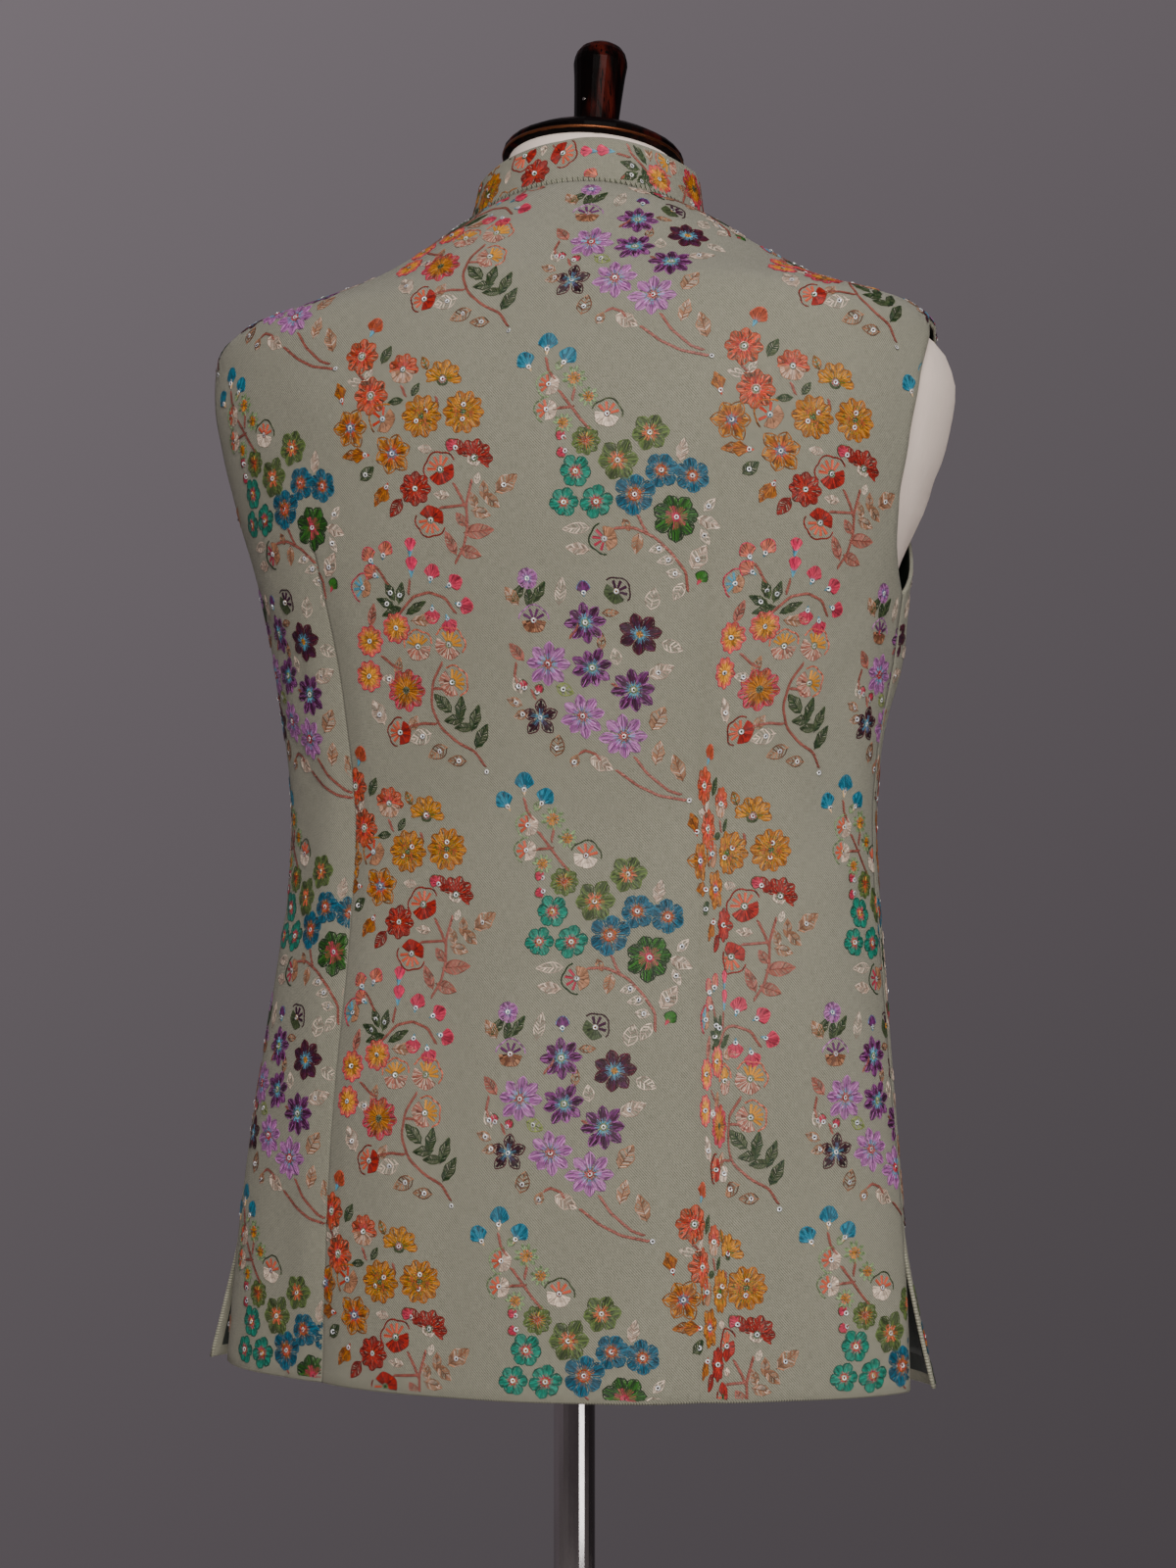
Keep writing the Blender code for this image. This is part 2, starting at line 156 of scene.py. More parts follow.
vectorAndScale = (("Vector", "Vector"), ("Scale", "Float"))


def twillGroup():
    # Threads that float over two and under two: a height, a fleck for each thread, and the ribs.
    tree, w, given, out = newGroup(
        "twillWeave", (("Vector", "Vector"), ("Pitch", "Float"), ("Step", "Float")),
        (("Height", "Float"), ("Fleck", "Float"), ("Rib", "Float")))
    parts = w.add("ShaderNodeSeparateXYZ", {0: given[0]})
    across, up = (w.math("DIVIDE", parts.outputs[k], given[1]) for k in (0, 1))
    warp, weft = w.wave(across, math.pi), w.wave(up, math.pi)
    diagonal = w.math("ADD", w.math("FLOOR", across), w.math("MULTIPLY", w.math("FLOOR", up), given[2]))
    over = w.math("LESS_THAN", w.math("FLOORED_MODULO", diagonal, 4.0), 1.9)
    under = w.math("SUBTRACT", 1.0, over)
    either = lambda first, second: w.math(
        "ADD", w.math("MULTIPLY", first, over), w.math("MULTIPLY", second, under))
    streak = lambda x, y: w.noise(w.add("ShaderNodeCombineXYZ", {0: x, 1: y}).outputs[0], 0.9)
    alongWarp = streak(across, w.math("MULTIPLY", up, 0.08))
    alongWeft = streak(w.math("MULTIPLY", across, 0.08), up)
    w.join(either(warp, weft), out[0])
    w.join(w.ramp(either(alongWarp, alongWeft), 0.28, 0.72), out[1])
    w.join(over, out[2])
    return tree


def unevenGroup():
    # Slow, soft differences from handling, dust and dye.
    tree, w, given, out = newGroup("unevenTone", vectorAndScale, (("Mask", "Float"), ("Fine", "Float")))
    w.join(w.ramp(w.noise(given[0], given[1], 3.0), 0.35, 0.68), out[0])
    w.join(w.noise(given[0], w.math("MULTIPLY", given[1], 14.0), 4.0, 0.65), out[1])
    return tree


def grainGroup():
    # Long wood fibres along Z, with darker pores.
    tree, w, given, out = newGroup("woodGrain", vectorAndScale, (("Grain", "Float"), ("Pores", "Float")))
    moved = {0: given[0], 1: w.scaled(given[0], (0.1, 0.1, 0.02))}
    bent = w.add("ShaderNodeVectorMath", moved, operation="ADD").outputs[0]
    stretched = {0: w.scaled(bent, (1.0, 1.0, 0.09)), 3: given[1]}
    long = w.add("ShaderNodeVectorMath", stretched, operation="SCALE").outputs[0]
    w.join(w.ramp(w.noise(long, 1.0, 5.0, 0.6), 0.36, 0.66), out[0])
    w.join(w.ramp(w.noise(w.scaled(long, (5.0, 5.0, 2.0)), 1.0, 3.0), 0.54, 0.66), out[1])
    return tree


effects = {"twill": twillGroup(), "uneven": unevenGroup(), "grain": grainGroup()}


def newMaterial(name, roughness, **values):
    made = bpy.data.materials.new(name)
    made.use_nodes = True
    shader = made.node_tree.nodes["Principled BSDF"]
    shader.inputs["Roughness"].default_value = roughness
    for socket, value in values.items():
        shader.inputs[socket.replace("_", " ")].default_value = value
    return made, Wires(made.node_tree), shader.inputs


def bump(w, height, strength, distance, before=None):
    sockets = {"Height": height, "Strength": strength, "Distance": distance}
    if before is not None:
        sockets["Normal"] = before
    return w.add("ShaderNodeBump", sockets).outputs[0]


twillLook = {
    "dark": (0.094, 0.095, 0.070), "light": (0.365, 0.352, 0.270), "pitch": 0.00038, "step": -1.0,
    "relief": 0.00022,
}


def twillMaterial(name, dark, light):
    made, w, shader = newMaterial(name, 0.86, Sheen_Weight=0.12, Sheen_Roughness=0.5,
                                  Specular_IOR_Level=0.25)
    uv = w.uv("clothUV")
    weave = w.group(effects["twill"],
                    {"Vector": uv, "Pitch": twillLook["pitch"], "Step": twillLook["step"]})
    slow = w.uneven(uv, 9.0)
    shade = w.math("MULTIPLY_ADD", weave["Fleck"], 0.42, w.math("MULTIPLY", weave["Rib"], 0.58))
    # the weave's height lightens the raised threads and darkens the dips between them: painted shade
    # between threads
    shade = w.math("MULTIPLY_ADD", weave["Height"], 0.30, w.math("SUBTRACT", shade, 0.19))
    shade = w.math("ADD", shade, w.math("MULTIPLY", w.math("SUBTRACT", slow["Mask"], 0.5), 0.05))
    w.join(w.mix(shade, dark, light), shader["Base Color"])
    w.join(w.math("MULTIPLY_ADD", slow["Fine"], 0.10, 0.80), shader["Roughness"])
    w.join(bump(w, weave["Height"], 0.8, twillLook["relief"]), shader["Normal"])
    return made


def satinMaterial():
    made, w, shader = newMaterial("liningSatin", 0.42, Specular_IOR_Level=0.3)
    uv = w.uv("clothUV")
    weave = w.group(effects["twill"], {"Vector": uv, "Pitch": 0.00022, "Step": 1.0})
    slow = w.uneven(uv, 14.0)
    shade = w.math("MULTIPLY_ADD", weave["Fleck"], 0.5, w.math("MULTIPLY", slow["Mask"], 0.4))
    w.join(w.mix(shade, (0.003, 0.007, 0.005), (0.010, 0.019, 0.012)), shader["Base Color"])
    w.join(w.math("MULTIPLY_ADD", slow["Mask"], 0.14, 0.30), shader["Roughness"])
    w.join(bump(w, slow["Fine"], 0.12, 0.0006, bump(w, weave["Height"], 0.2, 0.0001)), shader["Normal"])
    return made


def threadMaterial():
    # Every stitch has its own colour, kept on the mesh, and twisted plies along its length; painted shade
    # darkens each strand's sides and the grooves between its plies.
    made, w, shader = newMaterial("embroideryThread", 0.55, Sheen_Weight=0.04, Sheen_Roughness=0.35,
                                  Specular_IOR_Level=0.3)
    colour = w.add("ShaderNodeAttribute", attribute_name="stitchColour").outputs["Color"]
    uv = w.add("ShaderNodeSeparateXYZ", {0: w.uv("threadUV")})
    ply = w.math("SINE", w.math("MULTIPLY", w.math("ADD", uv.outputs[0], uv.outputs[1]), 26.0))
    # painted shade: the thread's own colour darkened, used for each strand's sides and its ply grooves
    darker = w.add("ShaderNodeMix", {0: 1.0, 6: colour, 7: (0.42, 0.38, 0.38, 1)}, data_type="RGBA",
                   blend_type="MULTIPLY")
    crest = w.math("SUBTRACT", 1.0, w.math("ABSOLUTE", w.math("MULTIPLY_ADD", uv.outputs[1], 10.0, -1.0)))
    # painted shade: lighter on each strand's crest and plies, darker at its sides and between plies
    plyAndCrestShade = w.math("MULTIPLY", w.math("MULTIPLY_ADD", ply, 0.22, 0.78), w.ramp(crest, -0.15, 0.85))
    w.join(w.mix(plyAndCrestShade, darker.outputs[2], colour), shader["Base Color"])
    w.join(w.math("MULTIPLY_ADD", plyAndCrestShade, -0.14, 0.56), shader["Roughness"])
    w.join(bump(w, ply, 0.35, 0.0001), shader["Normal"])
    return made


def sequinMaterial():
    made, w, shader = newMaterial("sequinPlate", 0.22, Metallic=0.35, Coat_Weight=0.5, Coat_Roughness=0.1)
    place = w.objectPlace()
    slow = w.uneven(place, 160.0)
    w.join(w.mix(slow["Mask"], (0.88, 0.87, 0.86), (0.70, 0.74, 0.80)), shader["Base Color"])
    w.join(w.math("MULTIPLY_ADD", slow["Fine"], 0.22, 0.10), shader["Roughness"])
    return made


def linenMaterial():
    made, w, shader = newMaterial("linenCover", 0.92, Sheen_Weight=0.1, Specular_IOR_Level=0.2)
    uv = w.uv("linenUV")
    parts = w.add("ShaderNodeSeparateXYZ", {0: uv})
    across, up = (w.wave(parts.outputs[k], math.pi / 0.00062) for k in (0, 1))
    threads = w.math("MULTIPLY", across, up)
    slub = w.noise(w.scaled(uv, (1600.0, 90.0, 1.0)), 1.0, 3.0)
    slow = w.uneven(uv, 6.0)
    # the weave's height also sets the colour, darker between the threads: painted shade
    shade = w.math("MULTIPLY_ADD", threads, 0.35, w.math("MULTIPLY", slub, 0.75))
    cover = w.mix(shade, (0.70, 0.575, 0.50), (0.92, 0.79, 0.71))
    stained = w.mix(w.math("MULTIPLY", slow["Mask"], 0.16), cover, (0.62, 0.48, 0.38))
    w.join(stained, shader["Base Color"])
    w.join(w.math("MULTIPLY_ADD", slub, 0.12, 0.84), shader["Roughness"])
    w.join(bump(w, w.math("ADD", threads, slub), 0.4, 0.00025), shader["Normal"])
    return made


def woodMaterial():
    made, w, shader = newMaterial("polishedWood", 0.4, Specular_IOR_Level=0.10, IOR=1.3)
    place = w.objectPlace()
    grain = w.group(effects["grain"], {"Vector": place, "Scale": 120.0})
    slow = w.uneven(place, 26.0)
    # red-brown wood showing through the near-black in patches; the patches stand in for a highlight, so
    # this is partly a painted highlight
    redHighlightPatch = w.ramp(w.noise(w.scaled(place, (60.0, 60.0, 22.0)), 1.0, 2.0), 0.50, 0.66)
    red = w.mix(w.math("MULTIPLY", grain["Grain"], redHighlightPatch), (0.0018, 0.0008, 0.0008),
                (0.046, 0.0050, 0.0030))
    dark = w.mix(grain["Pores"], red, (0.0010, 0.0006, 0.0006))
    w.join(dark, shader["Base Color"])
    w.join(w.math("MULTIPLY_ADD", slow["Fine"], 0.16, 0.30), shader["Roughness"])
    w.join(bump(w, grain["Pores"], 0.12, 0.0002), shader["Normal"])
    return made


def metalMaterial(name, low, high, roughness, spread):
    made, w, shader = newMaterial(name, roughness, Metallic=1.0)
    place = w.objectPlace()
    slow = w.uneven(w.scaled(place, (1.0, 1.0, 0.25)), 22.0)
    w.join(w.mix(slow["Mask"], low, high), shader["Base Color"])
    w.join(w.math("MULTIPLY_ADD", slow["Fine"], spread, roughness), shader["Roughness"])
    w.join(bump(w, slow["Fine"], 0.04, 0.0003), shader["Normal"])
    return made


def paintMaterial():
    made, w, shader = newMaterial("baseEnamel", 0.4, Coat_Weight=0.25, Coat_Roughness=0.2)
    place = w.objectPlace()
    slow = w.uneven(place, 12.0)
    w.join(w.mix(slow["Mask"], (0.016, 0.016, 0.018), (0.030, 0.029, 0.029)), shader["Base Color"])
    w.join(w.math("MULTIPLY_ADD", slow["Fine"], 0.25, 0.28), shader["Roughness"])
    w.join(bump(w, slow["Fine"], 0.18, 0.0004), shader["Normal"])
    return made


def hornMaterial():
    made, w, shader = newMaterial("hornButton", 0.3, Coat_Weight=0.4, Coat_Roughness=0.15)
    place = w.objectPlace()
    streak = w.ramp(w.noise(w.scaled(place, (700.0, 700.0, 160.0)), 1.0, 4.0), 0.4, 0.66)
    w.join(w.mix(streak, (0.045, 0.032, 0.018), (0.15, 0.105, 0.058)), shader["Base Color"])
    w.join(w.math("MULTIPLY_ADD", streak, 0.18, 0.24), shader["Roughness"])
    w.join(bump(w, streak, 0.1, 0.0002), shader["Normal"])
    return made


finishes = {
    "twill": twillMaterial("sageTwill", twillLook["dark"], twillLook["light"]),
    "lining": satinMaterial(),
    "thread": threadMaterial(),
    "sequin": sequinMaterial(),
    "linen": linenMaterial(),
    "wood": woodMaterial(),
    "chrome": metalMaterial("poleChrome", (0.26, 0.24, 0.24), (0.40, 0.38, 0.38), 0.05, 0.08),
    "steel": metalMaterial("washerSteel", (0.24, 0.22, 0.21), (0.38, 0.36, 0.34), 0.26, 0.16),
    "paint": paintMaterial(),
    "horn": hornMaterial(),
    "bead": metalMaterial("beadBronze", (0.130, 0.040, 0.018), (0.200, 0.070, 0.030), 0.34, 0.16),
}
print("materials mixed")

# The body surface that every cloth piece lies on, with the same values as the part's source.
bodyShape = {
    "hemZ": 0.840,
    "neckZ": 1.502,
    "leftDrop": 0.0072,  # the left shoulder is this much lower
    "dropHeights": (1.36, 1.43),
    "dropAcross": (0.035, 0.105),
    "neckTwist": 0.115,
    "twistFrom": 1.46,
    "levels": 443,
    "reach": 0.62,  # columns run this far round from the centre back
    "columnStep": 0.002,
    "sections": (  # z, half, sideY, backY, frontY, backUp, frontDown, power, ease
        (0.8400, 0.2040, 0.024, 0.126, -0.112, 0.000, 0.000, 1.60, 0.0200),
        (0.8850, 0.2005, 0.022, 0.123, -0.114, 0.000, 0.000, 1.66, 0.0190),
        (0.9500, 0.1945, 0.016, 0.117, -0.117, 0.000, 0.000, 1.78, 0.0180),
        (1.0180, 0.1863, 0.005, 0.108, -0.120, 0.000, 0.000, 1.92, 0.0170),
        (1.0860, 0.1785, -0.006, 0.097, -0.121, 0.000, 0.000, 2.02, 0.0160),
        (1.1530, 0.1730, -0.012, 0.091, -0.122, 0.000, 0.000, 2.10, 0.0150),
        (1.2210, 0.1790, -0.012, 0.099, -0.124, 0.000, 0.001, 2.15, 0.0115),
        (1.2890, 0.1905, -0.010, 0.111, -0.126, 0.000, 0.003, 2.20, 0.0075),
        (1.3350, 0.2065, -0.018, 0.117, -0.125, 0.001, 0.008, 2.20, 0.0050),
        (1.3680, 0.2175, -0.023, 0.119, -0.123, 0.003, 0.014, 2.20, 0.0045),
        (1.4010, 0.2230, -0.022, 0.115, -0.119, 0.006, 0.025, 2.20, 0.0045),
        (1.4200, 0.2200, -0.014, 0.109, -0.115, 0.008, 0.034, 2.20, 0.0055),
        (1.4380, 0.2085, 0.004, 0.101, -0.112, 0.010, 0.041, 2.18, 0.0070),
        (1.4472, 0.1960, 0.004, 0.096, -0.110, 0.011, 0.044, 2.16, 0.0055),
        (1.4570, 0.1640, 0.000, 0.088, -0.107, 0.012, 0.048, 2.12, 0.0042),
        (1.4640, 0.1430, -0.005, 0.081, -0.105, 0.013, 0.051, 2.10, 0.0040),
        (1.4805, 0.1115, -0.013, 0.065, -0.101, 0.014, 0.056, 2.06, 0.0038),
        (1.4949, 0.0860, -0.022, 0.049, -0.097, 0.015, 0.060, 2.02, 0.0034),
        (1.5020, 0.0690, -0.028, 0.040, -0.094, 0.0145, 0.062, 2.00, 0.0030),
    ),
}


def smoothRows(rows, heights):
    # A monotone cubic through the rows of a table, whose first column is the height.
    table = np.array(rows, float)
    z, values = table[:, 0], table[:, 1:]
    step = np.diff(z)[:, None]
    slope = np.diff(values, axis=0) / step
    tangent = np.zeros_like(values)
    tangent[0], tangent[-1] = slope[0], slope[-1]
    before, after = slope[:-1], slope[1:]
    sameWay = before * after > 0
    tangent[1:-1] = np.where(sameWay, 2 * before * after / np.where(sameWay, before + after, 1), 0)
    heights = np.clip(np.atleast_1d(heights), z[0], z[-1])
    row = np.clip(np.searchsorted(z, heights, side="right") - 1, 0, len(z) - 2)
    t = ((heights - z[row]) / (z[row + 1] - z[row]))[:, None]
    h = step[row]
    return (
        (2 * t**3 - 3 * t**2 + 1) * values[row]
        + (t**3 - 2 * t**2 + t) * h * tangent[row]
        + (3 * t**2 - 2 * t**3) * values[row + 1]
        + (t**3 - t**2) * h * tangent[row + 1]
    )


def readLattice(lattice, row, column):
    # Bilinear reading of a lattice at arrays of places along its rows and columns.
    row = np.clip(row, 0, lattice.shape[0] - 1.000001)
    column = np.clip(column, 0, lattice.shape[1] - 1.000001)
    r, c = row.astype(int), column.astype(int)
    fr, fc = row - r, column - c
    if lattice.ndim == 3:
        fr, fc = fr[..., None], fc[..., None]
    low = lattice[r, c] * (1 - fc) + lattice[r, c + 1] * fc
    high = lattice[r + 1, c] * (1 - fc) + lattice[r + 1, c + 1] * fc
    return low * (1 - fr) + high * fr


def climbed(points):
    # How far each row of a grid lies from its first row, along the cloth.
    rise = np.linalg.norm(np.diff(points, axis=0), axis=2)
    return np.concatenate([np.zeros((1, points.shape[1])), np.cumsum(rise, axis=0)])


class BodySurface:
    # Level loops round the body on a lattice of height and distance from the centre back.
    def __init__(self, shape):
        self.hemZ, self.neckZ = shape["hemZ"], shape["neckZ"]
        self.z = np.linspace(self.hemZ, self.neckZ, shape["levels"])
        self.zStep = self.z[1] - self.z[0]
        rows = smoothRows(shape["sections"], self.z)
        half, sideY, backY, frontY, backUp, frontDown, power, ease = (rows[:, [k]] for k in range(8))
        angle = np.linspace(0, math.pi, 361)
        sine, cosine = np.sin(angle)[None], np.cos(angle)[None]
        share = np.abs(cosine) ** (2 / power)
        x = half * np.abs(sine) ** (2 / power)
        y = sideY + np.sign(cosine) * np.where(cosine > 0, backY - sideY, sideY - frontY) * share
        z = self.z[:, None] + np.where(cosine > 0, backUp * share**2, -frontDown * share**1.5)
        behind = np.where(cosine > 0, share, 0)
        steps = np.sqrt(np.diff(x) ** 2 + np.diff(y) ** 2 + np.diff(z) ** 2)
        s = np.concatenate([np.zeros((len(self.z), 1)), np.cumsum(steps, axis=1)], axis=1)
        self.sideAt, self.lengthAt, self.easeAt = s[:, 180], s[:, -1], ease[:, 0]
        self.reach, self.sStep = shape["reach"], shape["columnStep"]
        self.s = np.arange(-self.reach, self.reach + self.sStep / 2, self.sStep)
        shoulder = shape["leftDrop"] * smoothStep(*shape["dropHeights"], self.z)
        neck = shape["neckTwist"] * smoothStep(shape["twistFrom"], self.neckZ, self.z)
        self.points = np.empty((len(self.z), len(self.s), 3))
        for row in range(len(self.z)):
            away, sign = np.abs(self.s), np.where(self.s < 0, -1.0, 1.0)
            past = away > s[row, -1]
            away, sign = np.where(past, 2 * s[row, -1] - away, away), np.where(past, -sign, sign)
            px, py, pz, pb = (np.interp(away, s[row], values[row]) for values in (x, y, z, behind))
            px = px * sign
            pz = pz - shoulder[row] * smoothStep(*shape["dropAcross"], px) - neck[row] * px * pb
            self.points[row] = np.stack([px, py, pz], axis=1)
        up = self.points[self.near(2)] - self.points[self.near(-2)]
        self.normals = unit(np.cross(up, np.gradient(self.points, axis=1)))
        self.tau = climbed(self.points)

    def near(self, by):
        return np.clip(np.arange(len(self.z)) + by, 0, len(self.z) - 1)

    def sample(self, lattice, z, s):
        z, s = np.broadcast_arrays(np.asarray(z, float), np.asarray(s, float))
        return readLattice(lattice, (z - self.hemZ) / self.zStep, (s + self.reach) / self.sStep)

    def side(self, z):
        return np.interp(z, self.z, self.sideAt)

    def length(self, z):
        return np.interp(z, self.z, self.lengthAt)

    def place(self, z, s, lift):
        point, normal = self.sample(self.points, z, s), unit(self.sample(self.normals, z, s))
        return point + normal * np.asarray(lift)[..., None], normal


body = BodySurface(bodyShape)
print("body surface ready")

panelCut = {
    "wall": 0.0022,
    "gap": 0.0003,
    "ventTopZ": 0.925,
    "ventFlare": 0.012,
    "flareReach": 0.055,
    "ventOpen": 0.005,
    "frontLap": 0.012,
    "lapClear": 0.0010,
    "lapUnder": (-0.046, -0.024),  # from the centre line, where the right front goes under
    "grainLean": 0.058,  # the grain leans to the right as it rises
    "roundEdge": 0.45,  # how far the edge of a wall stands out, as a share of the wall
    "closeColumns": (0.0009, 0.0018, 0.0030, 0.0050, 0.0080),  # to each side of a dart's line
    "gridStep": 0.0056,  # size of the cloth mesh's squares
    "turnedEdge": 0.0028,  # outer cloth turned in along the edges
    "armhole": (  # z, back, front: how far the edge lies from the side or shoulder line
        (1.2830, 0.000, 0.000),
        (1.2950, 0.015, 0.020),
        (1.3160, 0.036, 0.050),
        (1.3450, 0.053, 0.078),
        (1.3750, 0.060, 0.088),
        (1.4000, 0.057, 0.084),
        (1.4180, 0.042, 0.074),
        (1.4320, 0.018, 0.040),
        (1.4380, 0.000, 0.000),
    ),
    "folds": (  # sides, place from centre back to centre front, top, low, sunk, width
        ((1,), 0.258, 1.345, 0.800, 0.0042, 0.011),
        ((-1,), 0.212, 1.345, 0.800, 0.0050, 0.014),
        ((1, -1), 0.315, 1.010, 0.800, 0.0030, 0.022),
        ((1, -1), 0.150, 1.060, 0.800, -0.0030, 0.030),
        ((1,), 0.370, 1.250, 1.050, 0.0022, 0.020),
        ((-1,), 0.390, 1.300, 1.120, 0.0026, 0.018),
        ((1, -1), 0.740, 1.250, 0.930, 0.0030, 0.012),
        ((1, -1), 0.640, 0.990, 0.800, -0.0030, 0.030),
        ((1, -1), 0.540, 1.330, 1.195, -0.0040, 0.026),
        ((-1,), 0.540, 1.330, 1.215, -0.0040, 0.020),
    ),
    "foldFade": (0.11, 0.05),
    "dartFade": (0.05, 0.02),
    "darts": (  # place on the left and on the right, top and low end of the sewn line
        (0.258, 0.212, 1.345, 0.800),
        (0.740, 0.740, 1.250, 0.930),
    ),
    "dartGroove": (0.0010, 0.0015),  # depth and half width of the line of stitches
    "dartStep": (0.0006, 0.0100),  # the folded cloth beneath raises one side by this, over this width
    "creases": (  # from s, z to s, z: depth and half width; soft drag lines
        (0.215, 1.285, 0.130, 1.215, 0.0014, 0.012),
        (-0.215, 1.290, -0.125, 1.225, 0.0015, 0.012),
        (-0.205, 1.250, -0.120, 1.170, 0.0012, 0.011),
        (0.198, 1.235, 0.128, 1.150, 0.0011, 0.012),
        (0.052, 1.120, 0.040, 0.845, 0.0011, 0.017),
        (-0.058, 1.070, -0.070, 0.845, 0.0013, 0.016),
        (0.000, 1.180, -0.010, 0.960, -0.0009, 0.022),
        (0.165, 1.405, 0.120, 1.330, 0.0010, 0.015),
        (-0.160, 1.400, -0.110, 1.320, 0.0012, 0.015),
        (0.070, 1.470, 0.120, 1.425, 0.0008, 0.010),
        (-0.070, 1.470, -0.120, 1.430, 0.0008, 0.010),
        (0.230, 1.110, 0.135, 1.085, 0.0010, 0.010),
        (-0.230, 1.120, -0.135, 1.085, 0.0012, 0.010),
        (0.300, 1.260, 0.400, 1.180, 0.0013, 0.013),
        (-0.300, 1.260, -0.400, 1.180, 0.0013, 0.013),
        (0.430, 1.010, 0.450, 0.850, 0.0012, 0.016),
        (-0.420, 1.030, -0.440, 0.850, 0.0012, 0.016),
    ),
}


def foldLift(z, s):
    z, s = np.broadcast_arrays(z, s)
    around = body.length(z)
    lift = np.zeros(z.shape)
    fadeTop, fadeLow = panelCut["foldFade"]
    for sides, place, top, low, sunk, width in panelCut["folds"]:
        for side in sides:
            away = (s - side * place * around) / width
            fade = smoothStep(top, top - fadeTop, z) * smoothStep(low, low + fadeLow, z)
            lift = lift - sunk * np.exp(-away * away) * fade
    deep, narrow = panelCut["dartGroove"]
    raised, wide = panelCut["dartStep"]
    fadeTop, fadeLow = panelCut["dartFade"]
    for left, right, top, low in panelCut["darts"]:
        past = np.abs(s) - np.where(s > 0, left, right) * around
        fade = smoothStep(top, top - fadeTop, z) * smoothStep(low, low + fadeLow, z)
        under = smoothStep(-wide - 0.003, -wide, past) * (past < 0)
        under = under * np.exp(-np.minimum(past, 0) ** 2 / wide**2)
        lift = lift + fade * (raised * under - deep * np.exp(-((past / narrow) ** 2)))
    for fromS, fromZ, toS, toZ, sunk, width in panelCut["creases"]:
        run = np.array([toS - fromS, toZ - fromZ])
        length = np.linalg.norm(run)
        along = ((s - fromS) * run[0] + (z - fromZ) * run[1]) / length
        across = ((s - fromS) * run[1] - (z - fromZ) * run[0]) / length
        fade = smoothStep(-0.01, 0.3 * length, along) * smoothStep(length + 0.01, 0.7 * length, along)
        lift = lift - sunk * np.exp(-((across / width) ** 2)) * fade
    return lift


def ventShare(z):
    return np.maximum(0, (panelCut["ventTopZ"] - z) / (panelCut["ventTopZ"] - body.hemZ))


def armholeInset(z, which):
    z = np.asarray(z, float)
    rows = panelCut["armhole"]
    inset = smoothRows(rows, z.ravel())[:, which].reshape(z.shape)
    return np.where((z > rows[0][0]) & (z < rows[-1][0]), inset, 0)


def backEdge(z):
    vent = panelCut["ventOpen"] * ventShare(z) ** 1.5
    return body.side(z) - armholeInset(z, 0) - vent - panelCut["gap"] / 2


def frontEdge(z):
    return body.side(z) + armholeInset(z, 1) + panelCut["gap"] / 2


def frontLift(z, s, under):
    # The vent corner stands out, and the right front passes under the left one.
    fromSide = (np.abs(s) - body.side(z)) / panelCut["flareReach"]
    lift = foldLift(z, s) + panelCut["ventFlare"] * ventShare(z) ** 1.3 * np.exp(-(fromSide**2))
    if under:
        below = panelCut["wall"] + panelCut["lapClear"]
        lift = lift - below * smoothStep(*panelCut["lapUnder"], np.abs(s) - body.length(z))
    return lift


def evenRows(spacing, low=body.hemZ):
    # Heights that lie evenly along the cloth, closer where it runs over the shoulder.
    z = np.linspace(low, body.neckZ, 600)
    way = np.zeros(len(z))
    for share in (0.02, 0.5, 0.98):
        line = body.place(z, share * body.length(z), 0 * z)[0]
        way = np.maximum(way, np.concatenate([[0], np.linalg.norm(np.diff(line, axis=0), axis=1)]))
    way = np.cumsum(way)
    count = max(2, int(round(way[-1] / spacing)))
    return np.interp(np.linspace(0, way[-1], count + 1), way, z)


def columnsBetween(z, edges, step):
    # Columns from edge to edge of each row, close together along every line in between.
    close = np.array(panelCut["closeColumns"])
    close = np.concatenate([-close[::-1], [0.0], close])
    parts = [edges[0][:, None]]
    for number in range(1, len(edges)):
        last = number == len(edges) - 1
        low = edges[number - 1][:, None] + (0 if number == 1 else close[-1])
        high = edges[number][:, None] - (0 if last else close[-1])
        count = max(2, int(round(np.max(high - low) / step)))
        parts.append(low + (high - low) * np.linspace(0, 1, count + 1)[None, 1:])
        if not last:
            parts.append(edges[number][:, None] + close[None, 1:])
    return np.concatenate(parts, axis=1)


